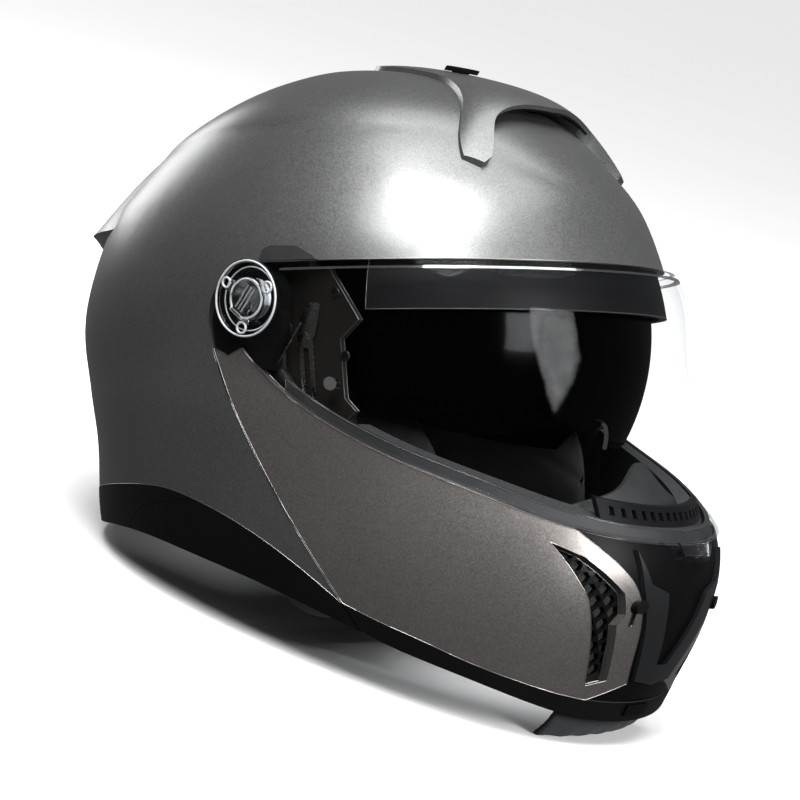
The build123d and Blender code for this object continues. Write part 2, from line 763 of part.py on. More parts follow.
with BuildPart() as eps_liner:
    add(at_liner)
    add(cavity_form, mode=Mode.SUBTRACT)
    add(liner_area, mode=Mode.INTERSECT)
    add(side_cut, mode=Mode.SUBTRACT)
    add(tint_sweep.part, mode=Mode.SUBTRACT)
    add(arm_sweep_both, mode=Mode.SUBTRACT)
    add(strip_room.part, mode=Mode.SUBTRACT)
    add(hub_cut, mode=Mode.SUBTRACT)
    add(hinge_cut, mode=Mode.SUBTRACT)
finish(eps_liner, "foam_liner")

# Brow frame inside the shell's front edge
with BuildPart() as brow_frame:
    add(at_strip_outer)
    add(at_strip_inner, mode=Mode.SUBTRACT)
    add(strip_area, mode=Mode.INTERSECT)
finish(brow_frame, "brow_frame")

# Rubber bumpers over the ears on the shell's edge
bumper_area = right_slab(ring_of(bumper_outline), 0.0, far)
at_bumper = lofted_form(form_stations, -bumper_height)
with BuildPart() as ear_bumper:
    add(at_bumper)
    add(head_outside.part, mode=Mode.SUBTRACT)
    add(bumper_area, mode=Mode.INTERSECT)
finish_both(ear_bumper, "ear_bumpers")

# Soft parts inside the head space
cavity_clear = lofted_form(cavity_stations, pad_clear)
cavity_padded = lofted_form(cavity_stations, pad_thickness)
crown_area = side_slab([
    crown_pad_foot,
    [crown_pad_foot[-1], (crown_pad_foot[-1][0], far)],
    [(crown_pad_foot[-1][0], far), (crown_pad_foot[0][0], far)],
    [(crown_pad_foot[0][0], far), crown_pad_foot[0]],
])
with BuildPart() as crown_pad:
    add(cavity_clear)
    add(cavity_padded, mode=Mode.SUBTRACT)
    add(crown_area, mode=Mode.INTERSECT)
finish(crown_pad, "crown_pad")

cheek_sections = []
for across, share in cheek_layers:
    points = [
        (cheek_centre[0] + (y - cheek_centre[0]) * share,
         cheek_centre[1] + (z - cheek_centre[1]) * share) for y, z in cheek_outline]
    with BuildSketch(Plane.YZ.offset(-across)) as cheek_section:
        with BuildLine():
            Spline(*points, periodic=True)
        make_face()
    cheek_sections.append(cheek_section.sketch)
at_pad_front = lofted_form(form_stations, pad_front_depth)
with BuildPart() as cheek_pad:
    loft(cheek_sections)
    add(cavity_clear, mode=Mode.INTERSECT)
    add(at_pad_front, mode=Mode.INTERSECT)
finish_pair(cheek_pad, "cheek_pad")

with BuildLine() as roll_line:
    Spline(*roll_path)
with BuildPart() as neck_roll:
    with BuildSketch(Plane(origin=roll_line.line @ 0, z_dir=roll_line.line % 0)):
        Ellipse(roll_half_width, roll_half_height)
    sweep(path=roll_line.line)
finish(neck_roll, "neck_roll")

# Chin guard details cut through the skin
panel_runs = [
    [panel_side[0], panel_side[1]],
    panel_side[1:7],
    [panel_side[6], panel_side[7]],
    [panel_side[7], panel_side[8]],
]
panel_edge = [[(-x, z) for x, z in run[::-1]] for run in panel_runs[::-1]]
panel_closed = panel_runs + [[panel_side[8], (-panel_side[8][0], panel_side[8][1])]] + panel_edge
panel_closed = panel_closed + [[(-panel_side[0][0], panel_side[0][1]), panel_side[0]]]
panel_wide = front_slab(panel_closed, -panel_front)
panel_tight_runs = [
    [(x - panel_gap if x > 0 else x + panel_gap, z) for x, z in run] for run in panel_closed]
panel_tight = front_slab(panel_tight_runs, -panel_front)
window_slab = front_slab(ring_of(vent_window), -panel_front)
windows = both_sides(window_slab)
with BuildPart() as chin_guard_half:
    add(guard_skin)
    add(panel_wide, mode=Mode.SUBTRACT)
    add(windows, mode=Mode.SUBTRACT)
    add(right_half, mode=Mode.INTERSECT)
finish_both(chin_guard_half, "chin_guard")

at_panel = lofted_form(form_stations, panel_depth)
at_guard = lofted_form(form_stations, guard_thickness)
with BuildPart() as front_panel:
    add(at_panel)
    add(at_guard, mode=Mode.SUBTRACT)
    add(guard_area, mode=Mode.INTERSECT)
    add(panel_tight, mode=Mode.INTERSECT)
    add(windows, mode=Mode.SUBTRACT)
finish(front_panel, "front_panel")

at_fin_outer = lofted_form(form_stations, fin_proud)
at_fin_inner = lofted_form(form_stations, fin_depth)
fin_slab = front_slab(ring_of(fin_outline), -panel_front)
with BuildPart() as chin_vent_fins:
    add(at_fin_outer)
    add(at_fin_inner, mode=Mode.SUBTRACT)
    add(fin_slab, mode=Mode.INTERSECT)
finish(chin_vent_fins, "chin_vent_fins")

# Honeycomb mesh behind each side vent window
at_mesh_outer = lofted_form(form_stations, mesh_depth)
at_mesh_inner = lofted_form(form_stations, mesh_depth + mesh_thickness)
with BuildPart() as mesh_plate_slab:
    with BuildSketch(Plane.XZ.offset(-panel_front)):
        with BuildLine():
            Polyline(*vent_window, close=True)
        make_face()
        offset(amount=mesh_margin, kind=Kind.INTERSECTION)
    extrude(amount=far)
row_rise = mesh_pitch * sqrt(3) / 2
hex_centres = []
for row in range(mesh_rows):
    for column in range(mesh_columns):
        hex_x = vent_window[0][0] + (column + (row % 2) / 2) * mesh_pitch
        hex_z = vent_window[0][1] - row * row_rise
        hex_centres.append((hex_x, hex_z))
with BuildSketch(Plane.XZ.offset(-panel_front)) as window_area:
    with BuildLine():
        Polyline(*vent_window, close=True)
    make_face()
with BuildSketch(Plane.XZ.offset(-panel_front)) as hex_holes:
    with Locations(*hex_centres):
        RegularPolygon(radius=mesh_hole, side_count=6)
    add(window_area.sketch, mode=Mode.INTERSECT)
with BuildPart() as hex_slab:
    extrude(hex_holes.sketch, amount=far)
with BuildPart() as side_vent_mesh:
    add(at_mesh_outer)
    add(at_mesh_inner, mode=Mode.SUBTRACT)
    add(mesh_plate_slab.part, mode=Mode.INTERSECT)
    add(guard_area, mode=Mode.INTERSECT)
    add(hex_slab.part, mode=Mode.SUBTRACT)
finish_pair(side_vent_mesh, "side_vent_mesh")

# Chin guard liner
at_chin_outer = lofted_form(form_stations, guard_thickness + mesh_thickness + seam + seam)
at_chin_inner = lofted_form(form_stations, chin_liner_depth)
liner_rim = shifted(rim_line[4:], 0.0, chin_liner_above)
chin_liner_area = side_slab([
    [chin_liner_rear[0], chin_liner_rear[1]],
    [chin_liner_rear[1], chin_liner_foot[0]],
    chin_liner_foot,
    [chin_liner_foot[-1], (-far, chin_liner_foot[-1][1])],
    [(-far, chin_liner_foot[-1][1]), (-far, liner_rim[-1][1])],
    [(-far, liner_rim[-1][1]), liner_rim[-1]],
    liner_rim[::-1],
    [liner_rim[0], chin_liner_rear[0]],
])
hook_room = both_sides(right_slab(ring_of(hook_boss), hook_inner - seam, far))
with BuildPart() as chin_liner:
    add(at_chin_outer)
    add(at_chin_inner, mode=Mode.SUBTRACT)
    add(chin_liner_area, mode=Mode.INTERSECT)
    add(hook_room, mode=Mode.SUBTRACT)
finish(chin_liner, "chin_liner")

# Gasket along the guard's rim
gasket_rim = shifted(rim_line[2:], 0.0, seam)
gasket_crest = shifted(rim_line[2:], 0.0, rim_gasket_height)
gasket_area = side_slab([
    gasket_rim,
    [gasket_rim[-1], gasket_crest[-1]],
    gasket_crest[::-1],
    [gasket_crest[0], gasket_rim[0]],
])
at_gasket_outer = lofted_form(form_stations, rim_gasket_out)
at_gasket_inner = lofted_form(form_stations, rim_gasket_in)
with BuildPart() as rim_gasket:
    add(at_gasket_outer)
    add(at_gasket_inner, mode=Mode.SUBTRACT)
    add(gasket_area, mode=Mode.INTERSECT)
finish(rim_gasket, "rim_gasket")

# Slotted channel that sends air up the shield
louver_rim = shifted(rim_line[4:], 0.0, chin_liner_above + seam)
louver_crest = shifted(rim_line[4:], 0.0, chin_liner_above + louver_rise)
louver_area = side_slab([
    louver_rim,
    [louver_rim[-1], louver_crest[-1]],
    louver_crest[::-1],
    [louver_crest[0], louver_rim[0]],
])
louver_width = front_slab(ring_of([
    (-louver_half_width, -far), (louver_half_width, -far), (louver_half_width, far),
    (-louver_half_width, far)]))
louver_pitch = 2 * louver_half_width / (louver_slot_count + 1)
with BuildPart() as louver_cut:
    with BuildSketch(Plane.XZ) as louver_cells:
        with GridLocations(louver_pitch, far, louver_slot_count, 1):
            Rectangle(louver_slot_width, far)
    extrude(amount=far)
louver_cut_base = shifted(rim_line[4:], 0.0, chin_liner_above + louver_slot_level)
louver_cut_rise = chin_liner_above + louver_slot_level + louver_slot_height
louver_cut_top = shifted(rim_line[4:], 0.0, louver_cut_rise)
louver_cut_area = side_slab([
    louver_cut_base,
    [louver_cut_base[-1], louver_cut_top[-1]],
    louver_cut_top[::-1],
    [louver_cut_top[0], louver_cut_base[0]],
])
with BuildPart() as louver_holes:
    add(louver_cut.part)
    add(louver_cut_area, mode=Mode.INTERSECT)
at_louver_outer = lofted_form(form_stations, louver_out)
at_louver_inner = lofted_form(form_stations, louver_in)
with BuildPart() as defog_louver:
    add(at_louver_outer)
    add(at_louver_inner, mode=Mode.SUBTRACT)
    add(louver_area, mode=Mode.INTERSECT)
    add(louver_width, mode=Mode.INTERSECT)
    add(louver_holes.part, mode=Mode.SUBTRACT)
finish(defog_louver, "defog_louver")

# Peaked breath deflector behind the chin liner
deflector_slab = front_slab([
    deflector_top,
    [deflector_top[-1], (deflector_top[-1][0], deflector_foot)],
    [(deflector_top[-1][0], deflector_foot), (deflector_top[0][0], deflector_foot)],
    [(deflector_top[0][0], deflector_foot), deflector_top[0]],
])
at_deflector_outer = lofted_form(form_stations, deflector_out)
at_deflector_inner = lofted_form(form_stations, deflector_in)
with BuildPart() as breath_deflector:
    add(at_deflector_outer)
    add(at_deflector_inner, mode=Mode.SUBTRACT)
    add(deflector_slab, mode=Mode.INTERSECT)
finish(breath_deflector, "breath_deflector")

# Black trim and soft curtain under the chin
button_area = front_slab(ring_of([
    (-button_half_width, button_levels[0]), (button_half_width, button_levels[0]),
    (button_half_width, button_levels[1]), (-button_half_width, button_levels[1])]))
button_room = front_slab(ring_of([
    (-button_half_width - seam, button_levels[0] - seam),
    (button_half_width + seam, button_levels[0] - seam),
    (button_half_width + seam, button_levels[1] + seam),
    (-button_half_width - seam, button_levels[1] + seam)]))
lower_trim_top = shifted(chin_foot_line, 0.0, -seam)
lower_trim_area = side_slab([
    [(side_foot[0] - split_gap, side_foot[1]), lower_trim_top[0]],
    lower_trim_top,
    [lower_trim_top[-1], chin_trim_line[-1]],
    chin_trim_line[1:][::-1] + [(side_foot[0] - split_gap, side_foot[1])],
])
with BuildPart() as chin_lower_trim:
    add(trim_skin_outer)
    add(trim_skin_inner, mode=Mode.SUBTRACT)
    add(lower_trim_area, mode=Mode.INTERSECT)
    add(button_room, mode=Mode.SUBTRACT)
finish(chin_lower_trim, "chin_lower_trim")

at_button_outer = lofted_form(form_stations, -button_proud)
at_button_inner = lofted_form(form_stations, button_depth)
with BuildPart() as release_button:
    add(at_button_outer)
    add(at_button_inner, mode=Mode.SUBTRACT)
    add(button_area, mode=Mode.INTERSECT)
finish(release_button, "release_button")

at_trim_room = lofted_form(form_stations, trim_depth + seam)
curtain_form = lofted_form(curtain_stations)
curtain_inside = Pos(0, 0, curtain_thickness) * lofted_form(curtain_stations, curtain_thickness)
curtain_area = side_slab(ring_of(curtain_outline), -curtain_half_width, curtain_half_width)
with BuildPart() as chin_curtain:
    add(curtain_form)
    add(curtain_inside, mode=Mode.SUBTRACT)
    add(curtain_area, mode=Mode.INTERSECT)
    add(at_trim_room, mode=Mode.INTERSECT)
    add(rest_slab, mode=Mode.SUBTRACT)
finish(chin_curtain, "chin_curtain")

# Side plates behind the ears
plate_face = port_edge + plate_rear
pin_bore = right_rod(ear, hinge_pin_radius + fit, 0.0, far)
tint_pin_bore = right_rod(tint_pivot, tint_pin_radius + fit, 0.0, far)
plate_sheet = right_slab(ring_of(plate_face), plate_inner, plate_outer)
wall_outside = right_slab(ring_of(plate_face), plate_outer, far)
with BuildPart() as wall_inside:
    with BuildSketch(Plane.YZ.offset(-far)):
        with BuildLine():
            Polyline(*plate_face, close=True)
        make_face()
        offset(amount=-plate_wall_thickness, kind=Kind.INTERSECTION)
    extrude(amount=far - plate_outer)
wall_rear = right_slab(ring_of(plate_wall_area), plate_outer, far)
at_shell_inner = lofted_form(form_stations, shell_thickness + fit)
with BuildPart() as plate_wall:
    add(wall_outside)
    add(wall_inside.part, mode=Mode.SUBTRACT)
    add(wall_rear, mode=Mode.INTERSECT)
    add(at_shell_inner, mode=Mode.INTERSECT)
with BuildPart() as temple_plate:
    add(plate_sheet)
    add(plate_wall.part)
    add(pin_bore, mode=Mode.SUBTRACT)
    add(tint_pin_bore, mode=Mode.SUBTRACT)
finish_pair(temple_plate, "temple_plate")

# Pins
flange_inner = plate_inner - hinge_flange_thickness
hinge_head_outer = arm_outer + seam + hinge_head_thickness
hinge_shaft = right_rod(ear, hinge_pin_radius, flange_inner, hinge_head_outer)
hinge_flange = right_rod(ear, hinge_flange_radius, flange_inner, plate_inner)
hinge_head = right_rod(ear, hinge_head_radius, arm_outer + seam, hinge_head_outer)
with BuildPart() as hinge_pin:
    add(hinge_shaft)
    add(hinge_flange)
    add(hinge_head)
finish_pair(hinge_pin, "hinge_pin")

tint_arm_inner = tint_half_width - tint_thickness
tint_head_inner = tint_arm_inner - hinge_flange_thickness
tint_shaft = right_rod(tint_pivot, tint_pin_radius, tint_head_inner, plate_outer)
tint_head = right_rod(tint_pivot, tint_pin_head, tint_head_inner, tint_arm_inner - seam)
tint_collar = right_rod(tint_pivot, tint_pin_head, tint_half_width + seam, plate_inner)
with BuildPart() as sun_visor_pin:
    add(tint_shaft)
    add(tint_head)
    add(tint_collar)
finish_both(sun_visor_pin, "sun_visor_pins")

# Arms that carry the chin guard
arm_eye = right_rod(ear, arm_eye_radius, arm_inner, arm_outer)
arm_leg_plate = right_slab(ring_of(arm_leg), arm_inner, arm_outer)
arm_boss_block = right_slab(ring_of(arm_boss), arm_inner, far)
with BuildPart() as arm_boss_fit:
    add(arm_boss_block)
    add(at_guard_inner, mode=Mode.INTERSECT)
with BuildPart() as hinge_arm:
    add(arm_eye)
    add(arm_leg_plate)
    add(arm_boss_fit.part)
    add(pin_bore, mode=Mode.SUBTRACT)
finish_pair(hinge_arm, "hinge_arm")

# Polished lever plate riveted on each side plate
lever_sheet = right_slab(ring_of(lever_blade), lever_inner, lever_outer)
rail_front = right_slab(ring_of(lever_rails[0]), lever_inner, lever_outer)
rail_back = right_slab(ring_of(lever_rails[1]), lever_inner, lever_outer)
rivet = right_rod(lever_rivet, lever_rivet_radius, lever_outer, lever_rivet_outer)
with BuildPart() as lever_plate:
    add(lever_sheet)
    add(rail_front)
    add(rail_back)
    add(rivet)
finish_pair(lever_plate, "lever_plate")

# Pods round the pivots
pod_circle = right_rod(ear, pod_radius, arm_outer + fit, far)
pod_low = right_slab(ring_of(pod_outline), arm_outer + fit, far)
at_pod = lofted_form(form_stations, pod_depth)
pod_head_bore = right_rod(ear, pod_head_space, 0.0, arm_outer + pod_head_depth)
pod_disc_bore = right_rod(ear, disc_radius + fit, disc_seat - fit, far)
with BuildPart() as pivot_pod:
    add(pod_circle)
    add(pod_low)
    add(at_pod, mode=Mode.INTERSECT)
    add(pod_head_bore, mode=Mode.SUBTRACT)
    add(pod_disc_bore, mode=Mode.SUBTRACT)
finish_pair(pivot_pod, "pivot_pod")

# Clear discs that hold the shield's ears
disc_body = right_rod(ear, disc_radius, disc_seat, disc_outer)
lug_ring = right_rod(ear, lug_radius, ear_outer + seam, lug_outer)
with BuildPart() as lug_bars:
    with BuildSketch(at_side(ear, -lug_outer)):
        for turn in lug_turns:
            Rectangle(lug_radius * 2, lug_width, rotation=turn, align=(Align.MIN, Align.CENTER))
    extrude(amount=lug_outer - ear_outer - seam)
block_width, block_length, block_rise = slider_block
with BuildPart() as block:
    with BuildSketch(at_side(ear, -disc_outer - block_rise)):
        Rectangle(block_width, block_length, rotation=slider_block_turn)
    extrude(amount=block_rise)
with BuildPart() as lugs:
    add(lug_ring)
    add(lug_bars.part, mode=Mode.INTERSECT)
with BuildPart() as visor_pivot:
    add(disc_body)
    add(lugs.part)
    add(block.part)
finish_pair(visor_pivot, "visor_pivot")

# Clear shield
at_shield = lofted_form(shield_stations, 0.0, shield_fullness)
at_shield_inner = lofted_form(shield_stations, shield_thickness, shield_fullness)
shield_low = shifted(rim_line[1:], 0.0, shield_rise)
shield_area = side_slab([
    shield_low,
    [shield_low[-1], (-far, shield_low[-1][1])],
    [(-far, shield_low[-1][1]), (-far, shield_top)],
    [(-far, shield_top), (ear[0], shield_top)],
    [(ear[0], shield_top), ear],
    [ear, shield_low[0]],
])
ear_disc = side_rod(ear, ear_radius, -far, far)
with BuildPart() as shield_outline:
    add(shield_area)
    add(ear_disc)
tab_slab = front_slab([
    tab_edge,
    [tab_edge[-1], tab_edge[0]],
], -panel_front)
with BuildPart() as shield_skin:
    add(at_shield)
    add(at_shield_inner, mode=Mode.SUBTRACT)
with BuildPart() as shield_tab:
    add(shield_skin.part)
    add(tab_slab, mode=Mode.INTERSECT)
ear_rib = both_sides(right_rod(ear, ear_radius, ear_outer - seam, ear_rib_outer))
ear_rib_cut = both_sides(right_rod(ear, ear_radius - ear_rib_width, ear_outer - seam, far))
with BuildPart() as ear_ribs:
    add(ear_rib)
    add(ear_rib_cut, mode=Mode.SUBTRACT)
ear_boss = both_sides(right_rod(ear, ear_boss_radius, ear_boss_inner, ear_outer - seam))
ear_bore = both_sides(right_rod(ear, disc_radius + fit, ear_boss_inner - far / 2, far))
with BuildPart() as visor_shield:
    add(shield_skin.part)
    add(shield_outline.part, mode=Mode.INTERSECT)
    add(shield_tab.part)
    add(ear_ribs.part)
    add(ear_boss)
    add(ear_bore, mode=Mode.SUBTRACT)
finish(visor_shield, "visor_shield")

at_catch = lofted_form(shield_stations, -catch_proud, shield_fullness)
at_catch_seat = lofted_form(shield_stations, -fit, shield_fullness)
catch_slab = front_slab(ring_of(catch_outline), -panel_front)
with BuildPart() as visor_catch:
    add(at_catch)
    add(at_catch_seat, mode=Mode.SUBTRACT)
    add(catch_slab, mode=Mode.INTERSECT)
finish(visor_catch, "visor_catch")

at_stud = lofted_form(shield_stations, shield_thickness + fit, shield_fullness)
at_stud_end = lofted_form(shield_stations, shield_thickness + stud_length, shield_fullness)
stud_rod = side_rod(stud_place, stud_radius, -far, far)
with BuildPart() as shield_studs:
    add(at_stud)
    add(at_stud_end, mode=Mode.SUBTRACT)
    add(stud_rod, mode=Mode.INTERSECT)
finish(shield_studs, "shield_studs")

# Latch pins on the side trims and hooks on the chin guard
latch_shaft = right_rod(latch_place, latch_pin_radius, latch_pin_inner, far)
latch_head = right_rod(
    latch_place, latch_head_radius, latch_pin_inner, latch_pin_inner + latch_head_thickness)
with BuildPart() as latch_pin:
    add(latch_shaft)
    add(latch_head)
    add(at_trim_room, mode=Mode.INTERSECT)
finish_pair(latch_pin, "latch_pin")

hook_plate = right_slab(ring_of(hook_outline), hook_inner, hook_outer)
hook_block = right_slab(ring_of(hook_block_outline), hook_inner, far)
with BuildPart() as latch_hook:
    add(hook_block)
    add(hook_plate)
    add(at_guard_inner, mode=Mode.INTERSECT)
finish_pair(latch_hook, "latch_hook")

# Chin straps and the buckle between them
with BuildLine() as strap_line:
    Spline(*strap_path)
with BuildPart() as chin_strap:
    with BuildSketch(Plane.XZ.offset(-strap_along - strap_width / 2)):
        trace(strap_line.line, line_width=strap_thickness)
    extrude(amount=strap_width)
finish_pair(chin_strap, "chin_strap")

buckle_base = Plane(origin=(0, strap_along, buckle_level), z_dir=(0, 0, 1))
with BuildPart() as strap_buckle:
    with BuildSketch(buckle_base):
        Rectangle(buckle_length, buckle_width)
    extrude(amount=buckle_thickness, both=True)
    with BuildSketch(buckle_base.offset(buckle_thickness)):
        with GridLocations(buckle_length, buckle_width - buckle_wall, 1, 2):
            Rectangle(buckle_length, buckle_wall)
    extrude(amount=buckle_wall_height)
    for side in (-1, 1):
        with BuildSketch(buckle_base):
            with Locations((side * (buckle_length / 2 - strap_seat / 2), 0)):
                Rectangle(strap_seat, strap_width + seam)
        extrude(amount=strap_thickness / 2 + strap_seat_clear, both=True, mode=Mode.SUBTRACT)
    with BuildSketch(Plane(origin=(lever_pin[0], strap_along, lever_pin[1]), x_dir=(1, 0, 0),
                           z_dir=(0, -1, 0))):
        Circle(lever_pin_radius)
    extrude(amount=buckle_width / 2, both=True)
finish(strap_buckle, "strap_buckle")

lever_half = buckle_width / 2 - buckle_wall - lever_clear
with BuildPart() as buckle_lever:
    with BuildSketch(Plane(origin=(lever_pin[0], strap_along, lever_pin[1]), x_dir=(1, 0, 0),
                           z_dir=(0, -1, 0))):
        Circle(lever_hub_radius)
        Rectangle(lever_length, lever_height, align=(Align.MAX, Align.MIN))
        Circle(lever_pin_radius + fit, mode=Mode.SUBTRACT)
    extrude(amount=lever_half, both=True)
finish(buckle_lever, "buckle_lever")

# Crown vent on its leaning plane
vent_plane = Plane(origin=(0, 0, 0), x_dir=(1, 0, 0), z_dir=vent_rise)
vent_levels = []
for along, edge, edge_height, middle, middle_height, centre_height in vent_sections:
    low = edge_height - vent_bottom
    section_plane = Plane(
        origin=vent_plane.from_local_coords((0, along, 0)), x_dir=(1, 0, 0),
        z_dir=vent_plane.y_dir * -1)
    with BuildSketch(section_plane) as vent_level:
        with BuildLine():
            Spline((-edge, edge_height), (-middle, middle_height), (0, centre_height),
                   (middle, middle_height), (edge, edge_height))
            Polyline((edge, edge_height), (edge, low), (-edge, low), (-edge, edge_height))
        make_face()
    vent_levels.append(vent_level.sketch)
with BuildPart() as vent_raised:
    loft(vent_levels)
vent_normal = vent_plane.z_dir

def lowered(amount):
    """The raised vent form moved in along the leaning plane's normal."""
    return Pos(*(vent_normal * -amount)) * vent_raised.part

def vent_slab(runs):
    """An outline on the leaning plane, extruded through the crown."""
    area = outline(vent_plane, runs)
    with BuildPart() as slab:
        extrude(area, amount=far)
    return slab.part

vent_half = [vent_side, [vent_nose[0], vent_nose[1]], [vent_nose[1], vent_nose[2]], vent_nose[2:]]
vent_other = [[(-x, v) for x, v in run[::-1]] for run in vent_half[::-1]]
cover_slab = vent_slab(vent_half + vent_other)
mouth_slab = vent_slab([vent_mouth, [vent_mouth[-1], vent_mouth[0]]])
vent_low = lowered(vent_wall)
with BuildPart() as mouth_hollow:
    add(vent_low)
    add(mouth_slab, mode=Mode.INTERSECT)
slot_half = vent_stem_half + fit
slot_start = vent_stem_span[0] - fit
slot_end = vent_stem_span[1] + vent_travel + fit
slot_slab = vent_slab(ring_of([
    (-slot_half, slot_start), (slot_half, slot_start), (slot_half, slot_end),
    (-slot_half, slot_end)]))
cover_seat_forms = [
    lofted_form(stations, -fit) for stations in (form_stations, band_stations, lip_under, lip_over)]
with BuildPart() as cover_seat:
    for seat_form in cover_seat_forms:
        add(seat_form)
with BuildPart() as top_vent_cover:
    add(vent_raised.part)
    add(cover_slab, mode=Mode.INTERSECT)
    add(cover_seat.part, mode=Mode.SUBTRACT)
    add(mouth_hollow.part, mode=Mode.SUBTRACT)
    add(slot_slab, mode=Mode.SUBTRACT)
finish(top_vent_cover, "top_vent_cover")

channel_slab = vent_slab([vent_channel, [vent_channel[-1], vent_channel[0]]])
channel_outside = lowered(vent_wall + seam)
channel_inside = lowered(vent_wall + vent_liner)
with BuildPart() as top_vent_channel:
    add(channel_outside)
    add(channel_inside, mode=Mode.SUBTRACT)
    add(channel_slab, mode=Mode.INTERSECT)
    add(cover_slab, mode=Mode.INTERSECT)
    add(cover_seat.part, mode=Mode.SUBTRACT)
finish(top_vent_channel, "top_vent_channel")

knob_slab = vent_slab(ring_of([
    (-vent_slider_half, vent_slider_span[0]), (vent_slider_half, vent_slider_span[0]),
    (vent_slider_half, vent_slider_span[1]), (-vent_slider_half, vent_slider_span[1])]))
stem_slab = vent_slab(ring_of([
    (-vent_stem_half, vent_stem_span[0]), (vent_stem_half, vent_stem_span[0]),
    (vent_stem_half, vent_stem_span[1]), (-vent_stem_half, vent_stem_span[1])]))
stem_top = lowered(-vent_stem_top)
stem_foot = lowered(vent_stem_depth)
knob_top = lowered(-vent_slider_height)
knob_seat = lowered(-vent_slider_clear)
with BuildPart() as knob_track:
    for step in range(1, vent_slide_steps + 1):
        moved = vent_travel * step / vent_slide_steps
        add(Pos(0, -vent_slide[0] * moved, -vent_slide[1] * moved) * knob_seat)
with BuildPart() as vent_stem:
    add(stem_top)
    add(stem_foot, mode=Mode.SUBTRACT)
    add(stem_slab, mode=Mode.INTERSECT)
with BuildPart() as top_vent_slider:
    add(knob_top)
    add(knob_seat, mode=Mode.SUBTRACT)
    add(knob_track.part, mode=Mode.SUBTRACT)
    add(knob_slab, mode=Mode.INTERSECT)
    add(vent_stem.part)
finish(top_vent_slider, "top_vent_slider")

# Air intake through the shell under the crown vent
intake_slab = vent_slab(ring_of([
    (-intake_half, intake_span[0]), (intake_half, intake_span[0]),
    (intake_half, intake_span[1]), (-intake_half, intake_span[1])]))
with BuildPart() as shell_with_intake:
    add(pieces["outer_shell"])
    add(intake_slab, mode=Mode.SUBTRACT)
finish(shell_with_intake, "outer_shell")

# Slotted rear vent under the spoiler lip
with BuildPart() as rear_vent_slots:
    with BuildSketch(Plane.XZ):
        with Locations((0, (rear_slot_levels[0] + rear_slot_levels[1]) / 2)):
            with GridLocations(rear_slot_pitch, rear_slot_pitch, rear_slot_count, 1):
                Rectangle(rear_slot_half * 2, rear_slot_levels[1] - rear_slot_levels[0])
    extrude(amount=-far)
rear_window = side_slab(ring_of([
    (rear_vent_front, rear_vent_levels[0]), (far, rear_vent_levels[0]),
    (far, rear_vent_levels[1]), (rear_vent_front, rear_vent_levels[1])]),
    -rear_vent_half, rear_vent_half)
lip_dropped = Pos(0, 0, -rear_vent_drop) * lip_under_form
with BuildPart() as rear_vent:
    add(lip_dropped)
    add(head_outside.part, mode=Mode.SUBTRACT)
    add(rear_window, mode=Mode.INTERSECT)
    add(rear_vent_slots.part, mode=Mode.SUBTRACT)
finish(rear_vent, "rear_vent")

# Sliders on the side vents
def front_pill(place, radius, travel):
    """A slot outline in the front view, running down from a place by a travel."""
    with BuildPart() as pill:
        with BuildSketch(Plane.XZ.offset(-panel_front)):
            with Locations(place):
                Circle(radius)
            with Locations((place[0], place[1] - travel / 2)):
                Rectangle(radius * 2, travel)
            with Locations((place[0], place[1] - travel)):
                Circle(radius)
        extrude(amount=far)
    return pill.part

at_nub_top = lofted_form(form_stations, -nub_proud)
at_nub_seat = lofted_form(form_stations, -nub_clear)
at_nub_foot = lofted_form(form_stations, nub_depth)
at_nub_stem = lofted_form(form_stations, -nub_clear - seam)
nub_disc = front_pill(nub_place, nub_radius, fit)
nub_rod = front_pill(nub_place, nub_stem, fit)
nub_slot_top = (nub_place[0], nub_place[1] + fit)
nub_slot_length = nub_travel + fit + fit + fit
nub_slot = both_sides(front_pill(nub_slot_top, nub_stem + fit, nub_slot_length))
with BuildPart() as nub_foot:
    add(at_nub_stem)
    add(at_nub_foot, mode=Mode.SUBTRACT)
    add(nub_rod, mode=Mode.INTERSECT)
with BuildPart() as side_vent_slider:
    add(at_nub_top)
    add(at_nub_seat, mode=Mode.SUBTRACT)
    add(nub_disc, mode=Mode.INTERSECT)
    add(nub_foot.part)
finish_pair(side_vent_slider, "side_vent_slider")
with BuildPart() as guard_slotted:
    add(pieces["chin_guard"])
    add(nub_slot, mode=Mode.SUBTRACT)
finish(guard_slotted, "chin_guard")

# Slider on the left side trim that lowers and raises the sun visor
slope = radians(tint_slider_slope)
tint_knob_plane = Plane(
    origin=(0, tint_slider_place[0], tint_slider_place[1]), x_dir=(0, cos(slope), sin(slope)),
    z_dir=(1, 0, 0))

def left_bar(length, height, ahead, depth_outer, depth_inner):
    """A bar along the left side trim between two depths of the head form."""
    with BuildPart() as bar:
        with BuildSketch(tint_knob_plane):
            with Locations((ahead, 0)):
                Rectangle(length, height, align=(Align.MIN, Align.CENTER))
        extrude(amount=far)
    outer_form = lofted_form(form_stations, depth_outer)
    inner_form = lofted_form(form_stations, depth_inner)
    with BuildPart() as fitted:
        add(bar.part)
        add(outer_form, mode=Mode.INTERSECT)
        add(inner_form, mode=Mode.SUBTRACT)
    return fitted.part

